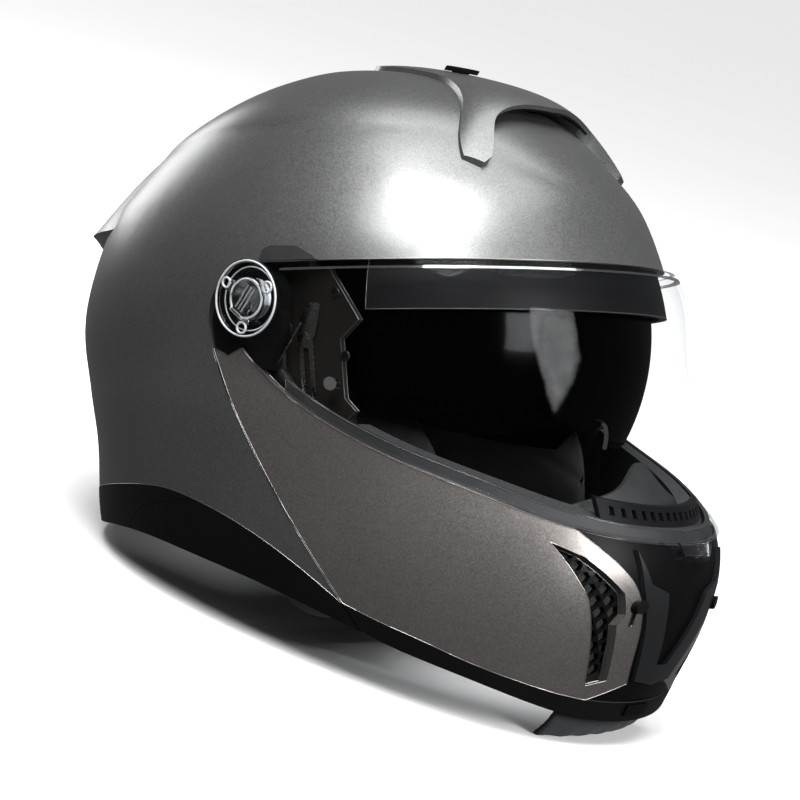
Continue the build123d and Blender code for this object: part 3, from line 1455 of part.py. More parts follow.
tint_knob = left_bar(
    tint_slider_length, tint_slider_height, 0.0, -tint_slider_proud, -tint_slider_clear)
stem_start = (tint_slider_length - tint_stem_length) / 2
tint_stem = left_bar(
    tint_stem_length, tint_stem_height, stem_start, -tint_slider_clear - seam, tint_stem_depth)
slot_room = seam - fit
tint_slot = left_bar(
    tint_stem_length + tint_slider_travel + slot_room * 2, tint_stem_height + fit * 2,
    stem_start - slot_room, -tint_slider_proud, tint_slot_depth)
with BuildPart() as sun_visor_slider:
    add(tint_knob)
    add(tint_stem)
finish(sun_visor_slider, "sun_visor_slider")
with BuildPart() as trim_slotted:
    add(pieces["side_trim_left"])
    add(tint_slot, mode=Mode.SUBTRACT)
finish(trim_slotted, "side_trim_left")

# The helmet leans back at rest, on its chin curtain and rear trim, over the origin
lean = degrees(atan2(rest_rear[1] - rest_front[1], rest_rear[0] - rest_front[0]))
leant = Rot(-lean, 0, 0)
rest_height = cos(radians(lean)) * rest_front[1] - sin(radians(lean)) * rest_front[0]
front_most = (leant * pieces["chin_vent_fins"]).bounding_box().min.Y
rear_most = (leant * pieces["outer_shell"]).bounding_box().max.Y
placing = Pos(0, -(front_most + rear_most) / 2, -rest_height) * leant
os.makedirs("parts", exist_ok=True)
for name, piece in pieces.items():
    placed = placing * piece
    placed.label = name
    export_step(placed, "parts/" + name + ".step")
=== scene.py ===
import json
import logging
import math
from collections.abc import Callable, Iterator
from contextlib import contextmanager
from dataclasses import dataclass
from enum import Enum

import bpy
import numpy as np
from mathutils import Matrix, Vector

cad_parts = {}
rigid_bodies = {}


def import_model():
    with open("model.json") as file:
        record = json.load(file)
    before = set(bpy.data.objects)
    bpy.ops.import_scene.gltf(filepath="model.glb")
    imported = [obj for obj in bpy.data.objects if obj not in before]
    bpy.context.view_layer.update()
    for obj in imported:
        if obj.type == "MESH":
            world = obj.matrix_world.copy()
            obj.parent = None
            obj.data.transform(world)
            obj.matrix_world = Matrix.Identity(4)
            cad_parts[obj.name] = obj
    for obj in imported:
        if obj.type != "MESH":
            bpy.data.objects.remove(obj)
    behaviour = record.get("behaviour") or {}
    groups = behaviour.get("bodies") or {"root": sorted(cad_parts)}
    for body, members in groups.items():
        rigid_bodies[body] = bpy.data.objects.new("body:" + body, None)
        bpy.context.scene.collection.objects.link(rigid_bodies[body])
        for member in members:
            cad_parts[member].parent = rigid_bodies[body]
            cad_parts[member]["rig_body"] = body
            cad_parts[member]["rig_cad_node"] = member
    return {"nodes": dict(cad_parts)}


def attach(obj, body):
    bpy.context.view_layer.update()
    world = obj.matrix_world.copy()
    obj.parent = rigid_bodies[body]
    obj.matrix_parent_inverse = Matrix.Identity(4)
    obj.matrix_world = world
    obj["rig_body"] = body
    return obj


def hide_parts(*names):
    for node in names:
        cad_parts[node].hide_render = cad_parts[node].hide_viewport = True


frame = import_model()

Pair = tuple[float, float]
Triple = tuple[float, float, float]
Piece = bpy.types.Object
Material = bpy.types.Material

log = logging.getLogger("helmet")
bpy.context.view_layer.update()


# Stance
@dataclass(frozen=True)
class Stance:
    """How the helmet's worn position leans back onto the table, in millimetres."""

    front_rest: Pair = (-116.0, -205.9)
    rear_rest: Pair = (165.0, -102.4)
    shift: float = 11.57

    @property
    def lean(self) -> float:
        """The angle in radians by which the helmet leans back."""
        rise = self.rear_rest[1] - self.front_rest[1]
        return math.atan2(rise, self.rear_rest[0] - self.front_rest[0])

    @property
    def height(self) -> float:
        """The height in millimetres of the ears' level over the table."""
        turned = math.cos(self.lean) * self.front_rest[1] - math.sin(self.lean) * self.front_rest[0]
        return -turned

    @property
    def matrix(self) -> Matrix:
        """The placing of worn positions in metres in the row frame."""
        move = Matrix.Translation((0.0, self.shift / 1000, self.height / 1000))
        return move @ Matrix.Rotation(-self.lean, 4, "X")

    def at(self, across: float, along: float, up: float) -> Vector:
        """Places a worn point.

        Args:
            across: millimetres to the wearer's left.
            along: millimetres towards the back of the head.
            up: millimetres above the ears' level.

        Returns:
            The point in the row frame, in metres.
        """
        return self.matrix @ (Vector((across, along, up)) / 1000)

    def way(self, across: float, along: float, up: float) -> Vector:
        """Turns a worn direction into the row frame."""
        return self.matrix.to_3x3() @ Vector((across, along, up))


stance = Stance()
SIDES = (("right", -1.0), ("left", 1.0))


# Shader sheets
class Value:
    """A shader socket that takes part in sums."""

    def __init__(self, sheet: "Sheet", socket: bpy.types.NodeSocket) -> None:
        """Keeps the sheet and the socket."""
        self.sheet = sheet
        self.socket = socket

    def _math(self, operation: str, first: "Value | float", second: "Value | float") -> "Value":
        """Adds one Math node and returns its result."""
        return self.sheet.node("ShaderNodeMath", {"operation": operation}, {0: first, 1: second})

    def __add__(self, other: "Value | float") -> "Value":
        """This value plus another."""
        return self._math("ADD", self, other)

    __radd__ = __add__

    def __mul__(self, other: "Value | float") -> "Value":
        """This value times another."""
        return self._math("MULTIPLY", self, other)

    __rmul__ = __mul__

    def __pow__(self, other: "Value | float") -> "Value":
        """This value to a power."""
        return self._math("POWER", self, other)

    def sine(self) -> "Value":
        """The sine of this value."""
        return self._math("SINE", self, 0.0)


class Sheet:
    """One material's nodes, with short ways to add to them."""

    def __init__(self, name: str) -> None:
        """Starts an empty sheet for a new material."""
        self.material = bpy.data.materials.new(name)
        self.material.use_nodes = True
        self.tree = self.material.node_tree
        self.tree.nodes.clear()
        self.end = self.tree.nodes.new("ShaderNodeOutputMaterial")

    def node(
        self,
        kind: str,
        settings: dict[str, object] | None = None,
        inputs: dict[int | str, object] | None = None,
        output: int | str = 0,
    ) -> Value:
        """Adds a node.

        Args:
            kind: the node's type.
            settings: its properties, with a ramp's stops under "stops".
            inputs: a number, colour or Value for each named or counted socket.
            output: which of its outputs to return.

        Returns:
            That output as a Value.
        """
        made = self.tree.nodes.new(kind)
        for key, value in (settings or {}).items():
            if key == "stops":
                ramp = made.color_ramp
                for place, grey in value:
                    stop = ramp.elements.new(place)
                    stop.color = (grey, grey, grey, 1.0)
                ramp.elements.remove(ramp.elements[0])
                ramp.elements.remove(ramp.elements[-1])
            else:
                setattr(made, key, value)
        for key, value in (inputs or {}).items():
            if isinstance(value, Value):
                self.tree.links.new(value.socket, made.inputs[key])
            else:
                made.inputs[key].default_value = value
        return Value(self, made.outputs[output])

    def place(self) -> Value:
        """The piece's own coordinates in metres."""
        return self.node("ShaderNodeTexCoord", output="Object")

    def scaled(self, factors: Triple) -> Value:
        """The piece's coordinates, stretched."""
        inputs = {"Vector": self.place(), "Scale": factors}
        return self.node("ShaderNodeMapping", {}, inputs)

    def axes(self, vector: Value) -> list[Value]:
        """The three numbers of a vector."""
        split = self.node("ShaderNodeSeparateXYZ", {}, {0: vector}).socket.node
        return [Value(self, socket) for socket in split.outputs]

    def noise(self, scale: float, detail: float = 2.0, vector: Value | None = None) -> Value:
        """Cloudy noise with a feature size of one over scale, in metres."""
        inputs = {"Vector": vector or self.place(), "Scale": scale, "Detail": detail}
        return self.node("ShaderNodeTexNoise", {}, inputs)

    def cells(self, scale: float, feature: str = "F1", output: str = "Distance") -> Value:
        """Distances or random colours of a cell pattern."""
        inputs = {"Vector": self.place(), "Scale": scale}
        return self.node("ShaderNodeTexVoronoi", {"feature": feature}, inputs, output)

    def blend(self, mask: Value, low: tuple[float, ...], high: tuple[float, ...]) -> Value:
        """A colour between two, by a mask."""
        inputs = {0: mask, 6: (*low, 1.0), 7: (*high, 1.0)}
        return self.node("ShaderNodeMix", {"data_type": "RGBA"}, inputs, 2)

    def bumped(self, height: Value, strength: float, distance: float) -> Value:
        """A normal from a height in millimetres."""
        inputs = {"Height": height, "Strength": strength, "Distance": distance / 1000}
        return self.node("ShaderNodeBump", {}, inputs)

    def shader(self, inputs: dict[str, object]) -> Value:
        """A Principled shader with these inputs."""
        return self.node("ShaderNodeBsdfPrincipled", {}, inputs)

    def close(self, shader: Value) -> Material:
        """Joins a shader to the output and returns the material."""
        self.tree.links.new(shader.socket, self.end.inputs["Surface"])
        return self.material


class Body(Enum):
    """Rigid bodies that the pieces ride on."""

    SHELL = "shell"
    GUARD = "chin_guard_assembly"
    VISOR = "visor"


STRAP_MAP = "strap"


# Finishes
@dataclass(frozen=True)
class SatinPaint:
    """Satin metallic paint with fine flakes."""

    name: str = "satin_gunmetal"
    dark: Triple = (0.108, 0.110, 0.111)
    light: Triple = (0.225, 0.228, 0.226)
    roughness: float = 0.35
    flake: float = 2600.0

    def make(self) -> Material:
        """The paint's material."""
        sheet = Sheet(self.name)
        flakes = sheet.cells(self.flake, output="Color")
        spark = sheet.node("ShaderNodeSeparateColor", {}, {0: flakes}, 0)
        drift = sheet.noise(18.0, 3.0)
        mask = spark * 0.62 + drift * 0.38
        colour = sheet.blend(mask, self.dark, self.light)
        rough = spark * 0.10 + (self.roughness - 0.05)
        peel = sheet.noise(420.0, 2.0)
        normal = sheet.bumped(peel + spark * 0.35, 0.10, 0.25)
        inputs = {
            "Base Color": colour,
            "Metallic": 0.82,
            "Roughness": rough,
            "Normal": normal,
            "Coat Weight": 0.12,
            "Coat Roughness": 0.32,
        }
        return sheet.close(sheet.shader(inputs))


@dataclass(frozen=True)
class MouldedPlastic:
    """Moulded plastic with a fine grain."""

    name: str
    colour: Triple = (0.0024, 0.0024, 0.0027)
    roughness: float = 0.44
    grain: float = 1500.0
    depth: float = 0.05
    gloss: float = 0.13

    def make(self) -> Material:
        """The plastic's material."""
        sheet = Sheet(self.name)
        grain = sheet.noise(self.grain, 2.0)
        wear = sheet.noise(45.0, 4.0)
        lighter = tuple(min(1.0, value * 1.5 + 0.0008) for value in self.colour)
        colour = sheet.blend(wear * 0.7 + grain * 0.3, self.colour, lighter)
        rough = wear * 0.12 + (self.roughness - 0.06)
        inputs = {
            "Base Color": colour,
            "Roughness": rough,
            "Specular IOR Level": self.gloss,
            "Normal": sheet.bumped(grain, 0.2, self.depth),
        }
        return sheet.close(sheet.shader(inputs))


@dataclass(frozen=True)
class ClearSheet:
    """Clear or smoked polycarbonate sheet."""

    name: str
    through: Triple
    facing: float
    edge: float
    roughness: float = 0.03

    def make(self) -> Material:
        """The sheet's material: light passes straight on, and more is mirrored near the edge."""
        sheet = Sheet(self.name)
        tilt = sheet.node("ShaderNodeLayerWeight", {}, {"Blend": 0.35}, "Facing")
        factor = (tilt**3.0) * (self.edge - self.facing) + self.facing
        haze = sheet.noise(60.0, 3.0)
        clear = sheet.node("ShaderNodeBsdfTransparent", {}, {"Color": (*self.through, 1.0)})
        inputs = {
            "Base Color": (0.75, 0.77, 0.78, 1.0),
            "Metallic": 1.0,
            "Roughness": haze * 0.004 + self.roughness,
        }
        mixed = {0: factor, 1: clear, 2: sheet.shader(inputs)}
        return sheet.close(sheet.node("ShaderNodeMixShader", {}, mixed))


@dataclass(frozen=True)
class ClearMoulding:
    """Thick clear moulded plastic that bends light."""

    name: str = "clear_moulding"

    def make(self) -> Material:
        """The moulding's material."""
        sheet = Sheet(self.name)
        flow = sheet.noise(160.0, 2.0)
        inputs = {
            "Base Color": (0.90, 0.92, 0.94, 1.0),
            "Roughness": flow * 0.08 + 0.03,
            "Transmission Weight": 1.0,
            "IOR": 1.46,
            "Normal": sheet.bumped(flow, 0.08, 0.3),
        }
        return sheet.close(sheet.shader(inputs))


@dataclass(frozen=True)
class Metal:
    """Bright or plated metal with drawn-out brushing."""

    name: str
    colour: Triple = (0.52, 0.51, 0.49)
    roughness: float = 0.30
    stretch: Triple = (900.0, 90.0, 2600.0)

    def make(self) -> Material:
        """The metal's material."""
        sheet = Sheet(self.name)
        lines = sheet.noise(1.0, 3.0, sheet.scaled(self.stretch))
        cloud = sheet.noise(70.0, 3.0)
        darker = tuple(value * 0.72 for value in self.colour)
        colour = sheet.blend(lines * 0.6 + cloud * 0.4, darker, self.colour)
        inputs = {
            "Base Color": colour,
            "Metallic": 1.0,
            "Roughness": lines * 0.18 + (self.roughness - 0.09),
            "Normal": sheet.bumped(lines, 0.12, 0.05),
        }
        return sheet.close(sheet.shader(inputs))


@dataclass(frozen=True)
class Rubber:
    """Soft rubber with a dusty bloom."""

    name: str = "seal_rubber"

    def make(self) -> Material:
        """The rubber's material."""
        sheet = Sheet(self.name)
        bloom = sheet.noise(90.0, 4.0)
        colour = sheet.blend(bloom, (0.004, 0.004, 0.004), (0.012, 0.012, 0.0125))
        inputs = {
            "Base Color": colour,
            "Roughness": bloom * 0.2 + 0.5,
            "Normal": sheet.bumped(sheet.noise(900.0, 2.0), 0.3, 0.08),
        }
        return sheet.close(sheet.shader(inputs))


@dataclass(frozen=True)
class Foam:
    """Expanded foam whose beads show."""

    name: str = "foam_beads"
    bead: float = 330.0

    def make(self) -> Material:
        """The foam's material."""
        sheet = Sheet(self.name)
        gap = sheet.cells(self.bead, "DISTANCE_TO_EDGE")
        bead = sheet.node("ShaderNodeMapRange", {}, {0: gap, 1: 0.0, 2: 0.16, 3: 0.0, 4: 1.0})
        colour = sheet.blend(bead, (0.004, 0.004, 0.0045), (0.015, 0.015, 0.016))
        inputs = {
            "Base Color": colour,
            "Roughness": bead * 0.12 + 0.72,
            "Normal": sheet.bumped(bead, 0.5, 0.35),
        }
        return sheet.close(sheet.shader(inputs))


@dataclass(frozen=True)
class KnitCloth:
    """Knitted lining or stretch cloth, its rows across the piece."""

    name: str
    colour: Triple
    pitch: float = 1.3
    raise_by: float = 0.35

    def make(self) -> Material:
        """The cloth's material."""
        sheet = Sheet(self.name)
        turns = 2 * math.pi / (self.pitch / 1000)
        across, along, up = sheet.axes(sheet.place())
        rows = (up * turns + along * (turns * 0.6)).sine()
        loops = (across * turns + along * (turns * 0.8)).sine()
        stitch = (rows * loops) * 0.5 + 0.5
        fuzz = sheet.noise(1400.0, 3.0)
        patch = sheet.noise(35.0, 3.0)
        darker = tuple(value * 0.45 for value in self.colour)
        lighter = tuple(min(1.0, value * 1.35) for value in self.colour)
        colour = sheet.blend(stitch * 0.55 + fuzz * 0.2 + patch * 0.25, darker, lighter)
        inputs = {
            "Base Color": colour,
            "Roughness": fuzz * 0.15 + 0.78,
            "Sheen Weight": 0.06,
            "Sheen Roughness": 0.45,
            "Normal": sheet.bumped(stitch + fuzz * 0.3, 0.7, self.raise_by),
        }
        return sheet.close(sheet.shader(inputs))


@dataclass(frozen=True)
class Webbing:
    """Woven strap, its ribs following the strap's own map."""

    name: str = "strap_webbing"
    rib: float = 1.6

    def make(self) -> Material:
        """The webbing's material."""
        sheet = Sheet(self.name)
        run, wide, _ = sheet.axes(sheet.node("ShaderNodeUVMap", {"uv_map": STRAP_MAP}))
        turns = 2 * math.pi / self.rib
        ribs = (run * turns + (wide * (turns * 0.8)).sine() * 1.2).sine()
        threads = (wide * (turns * 1.6)).sine()
        weave = (ribs * 0.6 + threads * 0.4) * 0.5 + 0.5
        fuzz = sheet.noise(1800.0, 2.0)
        colour = sheet.blend(weave * 0.7 + fuzz * 0.3, (0.004, 0.004, 0.004), (0.022, 0.022, 0.023))
        inputs = {
            "Base Color": colour,
            "Roughness": fuzz * 0.15 + 0.62,
            "Sheen Weight": 0.15,
            "Normal": sheet.bumped(weave, 0.8, 0.3),
        }
        return sheet.close(sheet.shader(inputs))


class Finish(Enum):
    """Every finish on the helmet."""

    PAINT = SatinPaint()
    GUARD_PAINT = SatinPaint(
        "satin_gunmetal_guard", (0.140, 0.130, 0.125), (0.285, 0.264, 0.252), 0.37
    )
    BLACK = MouldedPlastic("black_moulding")
    PANEL = MouldedPlastic("black_panel", (0.0018, 0.0018, 0.0021), 0.38, 1100.0, 0.04, 0.06)
    GLOSS = MouldedPlastic("gloss_black", (0.002, 0.002, 0.002), 0.12, 500.0, 0.004)
    SATIN_DARK = MouldedPlastic("satin_dark_fins", (0.0085, 0.009, 0.010), 0.30, 1800.0, 0.04, 0.18)
    HONEYCOMB = MouldedPlastic("honeycomb_black", (0.0018, 0.0018, 0.0021), 0.22, 900.0, 0.03, 0.22)
    BRONZE = MouldedPlastic("dark_bronze_plate", (0.009, 0.0075, 0.006), 0.34, 1500.0, 0.02)
    # Painted highlight: both lip finishes are lighter than the parts they edge, standing in for
    # highlight lines along those edges.
    LIP = Metal("painted_highlight_lip", (0.33, 0.325, 0.31), 0.34, (500.0, 500.0, 500.0))
    LIP_DARK = MouldedPlastic("painted_highlight_dark_lip", (0.030, 0.030, 0.032), 0.22, 900.0, 0.01, 0.5)
    RED = MouldedPlastic("lever_red", (0.30, 0.018, 0.016), 0.42, 1400.0, 0.06)
    CLEAR = ClearSheet("clear_shield", (0.975, 0.980, 0.985), 0.003, 0.17)
    SMOKE = ClearSheet("smoke_visor", (0.022, 0.026, 0.034), 0.005, 0.20, 0.12)
    EDGE = ClearSheet("polished_edge", (0.90, 0.92, 0.94), 0.42, 0.95, 0.10)
    # Painted highlight: pale grey for the clear pivots' rings, ribs and lugs, standing in for the
    # glints on clear plastic.
    FROSTED = MouldedPlastic("painted_glint_clear_ribs", (0.42, 0.44, 0.45), 0.20, 900.0, 0.01, 0.8)
    MOULDING = ClearMoulding()
    BRUSHED = Metal("brushed_plate", (0.20, 0.19, 0.18), 0.26)
    PLATED = Metal("plated_steel", (0.22, 0.22, 0.225), 0.32, (300.0, 300.0, 300.0))
    BLACKENED = Metal("blackened_screw", (0.05, 0.05, 0.052), 0.34, (300.0, 300.0, 300.0))
    SILVER = Metal("silver_stud", (0.80, 0.80, 0.79), 0.16, (400.0, 400.0, 400.0))
    RUBBER = Rubber()
    FOAM = Foam()
    LINING = KnitCloth("lining_knit", (0.008, 0.008, 0.0085))
    LINING_BRUSHED = KnitCloth("lining_brushed", (0.010, 0.010, 0.011), 0.9, 0.2)
    CURTAIN = KnitCloth("curtain_stretch", (0.030, 0.033, 0.040), 0.9, 0.15)
    WEBBING = Webbing()


class Wardrobe:
    """Makes each finish once and puts it on pieces."""

    def __init__(self) -> None:
        """Starts with no material made."""
        self.made: dict[Finish, Material] = {}

    def add(self, piece: Piece, finish: Finish) -> None:
        """Gives a piece one more finish."""
        if finish not in self.made:
            self.made[finish] = finish.value.make()
        piece.data.materials.append(self.made[finish])

    def dress(self, piece: Piece, finish: Finish) -> None:
        """Puts one finish on a whole piece."""
        piece.data.materials.clear()
        self.add(piece, finish)


wardrobe = Wardrobe()


# Bench work
WELD = 0.00001


def alone(piece: Piece) -> None:
    """Selects one piece and nothing else, in object mode."""
    if bpy.context.object and bpy.context.object.mode != "OBJECT":
        bpy.ops.object.mode_set(mode="OBJECT")
    bpy.ops.object.select_all(action="DESELECT")
    piece.select_set(True)
    bpy.context.view_layer.objects.active = piece


@contextmanager
def editing(piece: Piece, action: str = "SELECT") -> Iterator[None]:
    """Opens one piece in edit mode for a while.

    Args:
        piece: what is edited.
        action: whether all of it starts selected, or nothing.
    """
    alone(piece)
    bpy.ops.object.mode_set(mode="EDIT")
    bpy.ops.mesh.select_all(action=action)
    yield
    bpy.ops.object.mode_set(mode="OBJECT")


def added(name: str) -> Piece:
    """Names the piece that was just added, and returns it."""
    piece = bpy.context.object
    piece.name = name
    piece.data.name = name
    return piece


def primitive(name: str, add: Callable[..., object], **sizes: object) -> Piece:
    """Adds a simple shape to start from.

    Args:
        name: the name it gets.
        add: the operator that adds it.
        sizes: the operator's settings.

    Returns:
        The piece.
    """
    bpy.ops.object.select_all(action="DESELECT")
    add(**sizes)
    return added(name)


def modified(piece: Piece, kind: str, **settings: object) -> None:
    """Adds a modifier, sets it and applies it.

    Args:
        piece: what it works on.
        kind: the modifier's type.
        settings: its properties.
    """
    alone(piece)
    bpy.ops.object.modifier_add(type=kind)
    modifier = piece.modifiers[-1]
    for key, value in settings.items():
        setattr(modifier, key, value)
    bpy.ops.object.modifier_apply(modifier=modifier.name)


def bevelled(piece: Piece, width: float, segments: int = 2, degrees: float = 30.0) -> None:
    """Rounds a piece's sharp edges.

    Args:
        piece: what is rounded.
        width: the bevel's width in millimetres.
        segments: how many steps it has.
        degrees: the angle past which an edge is sharp.
    """
    limit = {"limit_method": "ANGLE", "angle_limit": math.radians(degrees)}
    modified(piece, "BEVEL", width=width / 1000, segments=segments, **limit)


def smooth(piece: Piece, degrees: float = 30.0) -> None:
    """Shades a piece smooth up to an angle between faces."""
    alone(piece)
    bpy.ops.object.shade_smooth_by_angle(angle=math.radians(degrees))


def settled(piece: Piece) -> None:
    """Applies a piece's place, so that it sits at the origin."""
    alone(piece)
    bpy.ops.object.transform_apply(location=True, rotation=True, scale=True)


def copied(node: str, name: str) -> Piece:
    """Copies a solid as one joined skin.

    Args:
        node: the solid's name.
        name: the copy's name.

    Returns:
        The copy, with no parent.
    """
    solid = frame["nodes"][node]
    hidden = solid.hide_viewport
    solid.hide_viewport = False
    alone(solid)
    bpy.ops.object.duplicate()
    solid.hide_viewport = hidden
    piece = added(name)
    piece.hide_render = False
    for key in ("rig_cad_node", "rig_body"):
        if key in piece:
            del piece[key]
    piece.parent = None
    alone(piece)
    bpy.ops.mesh.customdata_custom_splitnormals_clear()
    with editing(piece):
        bpy.ops.mesh.remove_doubles(threshold=WELD)
    return piece


def joined(pieces: list[Piece], name: str) -> Piece:
    """Joins finished meshes into one piece."""
    alone(pieces[0])
    for piece in pieces[1:]:
        piece.select_set(True)
    bpy.ops.object.join()
    return added(name)


def points_of(piece: Piece, what: str = "co") -> np.ndarray:
    """A piece's points, or its normals there, as rows of three numbers."""
    flat = np.zeros(len(piece.data.vertices) * 3)
    piece.data.vertices.foreach_get(what, flat)
    return flat.reshape(-1, 3)


def set_points(piece: Piece, points: np.ndarray) -> None:
    """Gives a piece new places for its points."""
    piece.data.vertices.foreach_set("co", points.ravel())
    piece.data.update()


def facing_out(point: Vector, outward: Vector) -> Matrix:
    """A place whose Z axis looks along a direction."""
    return Matrix.Translation(point) @ outward.to_track_quat("Z", "Y").to_matrix().to_4x4()


def reported(piece: Piece, body: str, finish: Finish, stands_for: tuple[str, ...] = ()) -> Piece:
    """Dresses a finished piece, sets it on its body and reports it.

    Args:
        piece: the finished piece.
        body: the rigid body it rides on.
        finish: what it is made of.
        stands_for: the solids that it replaces.

    Returns:
        The piece.
    """
    wardrobe.dress(piece, finish)
    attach(piece, body)
    if stands_for:
        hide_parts(*stands_for)
    log.info("%s: %d faces on %s", piece.name, len(piece.data.polygons), body)
    return piece


def body_of(node: str) -> str:
    """The rigid body that a solid is on."""
    return frame["nodes"][node]["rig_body"]


# Hard pieces
@dataclass(frozen=True)
class HardPart:
    """A solid that shows as it is, smoothed, with softened edges where they catch light."""

    node: str
    name: str
    finish: Finish
    angle: float = 28.0
    edge: float = 0.0

    def build(self) -> Piece:
        """Copies, smooths and dresses the part.

        Returns:
            The finished piece.
        """
        piece = copied(self.node, self.name)
        if self.edge:
            bevelled(piece, self.edge, degrees=40.0)
        smooth(piece, self.angle)
        return reported(piece, body_of(self.node), self.finish, (self.node,))


def both(
    node: str, name: str, finish: Finish, angle: float = 28.0, edge: float = 0.0
) -> tuple[HardPart, ...]:
    """The left and the right part of a pair."""
    return tuple(
        HardPart(f"{node}_{side}", f"{name}_{side}", finish, angle, edge)
        for side in ("left", "right")
    )


HARD_PARTS = (
    HardPart("outer_shell", "painted_shell", Finish.PAINT, 22.0),
    HardPart("top_vent_cover", "painted_vent_cover", Finish.PAINT, 24.0),
    HardPart("chin_guard", "painted_chin_guard", Finish.GUARD_PAINT, 22.0),
    HardPart("rear_trim", "rear_trim_moulding", Finish.BLACK),
    *both("side_trim", "side_trim_moulding", Finish.BLACK),
    HardPart("foam_liner", "foam_liner_beads", Finish.FOAM, 35.0),
    HardPart("brow_frame", "brow_frame_moulding", Finish.BLACK),
    HardPart("ear_bumpers", "ear_bumper_pads", Finish.RUBBER),
    *both("temple_plate", "temple_plate_moulding", Finish.BRONZE),
    *both("lever_plate", "lever_plate_metal", Finish.BRUSHED, edge=0.18),
    *both("hinge_pin", "hinge_pin_metal", Finish.PLATED),
    HardPart("sun_visor_pins", "sun_visor_pin_pair", Finish.PLATED),
    *both("latch_pin", "latch_pin_metal", Finish.PLATED),
    HardPart("top_vent_channel", "top_vent_duct", Finish.GLOSS),
    HardPart("top_vent_slider", "top_vent_knob", Finish.BLACK, edge=0.3),
    HardPart("rear_vent", "rear_vent_grille", Finish.BLACK),
    HardPart("front_panel", "front_panel_moulding", Finish.PANEL),
    HardPart("chin_vent_fins", "chin_vent_fin_pair", Finish.SATIN_DARK, 24.0),
    *both("side_vent_mesh", "side_vent_honeycomb", Finish.HONEYCOMB, 20.0),
    *both("side_vent_slider", "side_vent_knob", Finish.BLACK),
    HardPart("chin_liner", "chin_liner_beads", Finish.FOAM, 35.0),
    HardPart("rim_gasket", "rim_gasket_seal", Finish.RUBBER),
    HardPart("defog_louver", "defog_louver_moulding", Finish.BLACK, 24.0),
    HardPart("breath_deflector", "breath_deflector_rubber", Finish.RUBBER),
    HardPart("chin_lower_trim", "chin_lower_trim_moulding", Finish.BLACK),
    HardPart("release_button", "release_button_black", Finish.PANEL),
    *both("hinge_arm", "hinge_arm_metal", Finish.PLATED),
    *both("pivot_pod", "pivot_pod_moulding", Finish.GLOSS),
    *both("visor_pivot", "visor_pivot_clear", Finish.MOULDING),
    *both("latch_hook", "latch_hook_metal", Finish.PLATED),
    HardPart("visor_catch", "shield_catch_tab", Finish.MOULDING),
    HardPart("shield_studs", "shield_stud_pair", Finish.SILVER),
    HardPart("sun_visor_slider", "sun_visor_knob", Finish.BLACK),
    HardPart("strap_buckle", "buckle_frame_metal", Finish.PLATED),
    HardPart("buckle_lever", "buckle_lever_red", Finish.RED),
)


# Clear sheets
@dataclass(frozen=True)
class EdgedSheet:
    """A moulded clear sheet whose cut edges catch the light."""

    node: str
    name: str
    finish: Finish
    middle: Pair
    across_too: bool
    cut: float = 0.45

    def edges(self, piece: Piece) -> list[int]:
        """Finds the faces of the cut edges.

        Args:
            piece: the sheet.

        Returns:
            Their numbers.
        """
        centre = stance.at(0.0, *self.middle)
        upright = stance.way(0.0, 0.0, 1.0)
        found = []
        for face in piece.data.polygons:
            out = face.center - centre
            if not self.across_too:
                out = out - upright * out.dot(upright)
            if abs(face.normal.dot(out.normalized())) < self.cut:
                found.append(face.index)
        return found

    def build(self) -> Piece:
        """Makes the sheet.

        Returns:
            The finished piece.
        """
        piece = copied(self.node, self.name)
        smooth(piece, 24.0)
        reported(piece, body_of(self.node), self.finish, (self.node,))
        wardrobe.add(piece, Finish.EDGE)
        for index in self.edges(piece):
            piece.data.polygons[index].material_index = 1
        return piece


@dataclass(frozen=True)
class ShieldLip:
    """The raised lip under the shield's top edge, which shows as a second bright line."""

    top: float = 17.6
    height: float = 1.1
    proud: float = 0.5
    back_end: float = -24.0
    middle: float = -10.0

    def build(self) -> Piece:
        """Cuts the lip from a copy of the shield.

        Returns:
            The finished piece.
        """
        piece = copied("visor_shield", "shield_top_lip")
        up = stance.way(0.0, 0.0, 1.0)
        ahead = stance.way(0.0, -1.0, 0.0)
        cuts = (
            (stance.at(0.0, 0.0, self.top), up),
            (stance.at(0.0, 0.0, self.top - self.height), -up),
            (stance.at(0.0, self.back_end, 0.0), -ahead),
        )
        for point, normal in cuts:
            with editing(piece):
                bpy.ops.mesh.bisect(
                    plane_co=point, plane_no=normal, clear_outer=True, use_fill=True
                )
        points = points_of(piece)
        centre = np.array(stance.at(0.0, self.middle, self.top))
        out = points - centre
        out -= np.outer(out @ np.array(up), np.array(up))
        out /= np.linalg.norm(out, axis=1, keepdims=True)
        set_points(piece, points + out * self.proud / 1000)
        smooth(piece, 30.0)
        return reported(piece, Body.VISOR.value, Finish.EDGE)


@dataclass(frozen=True)
class RolledLip:
    """A fine rounded lip along a part's sharp edges, finished lighter than the part as a painted
    highlight line; its round also catches the light.
    """

    node: str
    name: str
    finish: Finish
    radius: float = 0.22
    sharpness: float = 55.0

    def build(self) -> Piece:
        """Draws the lip from the part's own sharp edges.

        Returns:
            The finished piece.
        """
        piece = copied(self.node, self.name)
        with editing(piece, "DESELECT"):
            bpy.ops.mesh.select_mode(type="EDGE")
            bpy.ops.mesh.edges_select_sharp(sharpness=math.radians(self.sharpness))
            bpy.ops.mesh.select_all(action="INVERT")
            bpy.ops.mesh.delete(type="EDGE")
            bpy.ops.mesh.select_all(action="SELECT")
            bpy.ops.mesh.delete(type="ONLY_FACE")
        bpy.ops.object.convert(target="CURVE")
        piece = bpy.context.object
        piece.data.bevel_depth = self.radius / 1000
        piece.data.bevel_resolution = 1
        bpy.ops.object.convert(target="MESH")
        piece = bpy.context.object
        smooth(piece, 60.0)
        return reported(piece, body_of(self.node), self.finish)
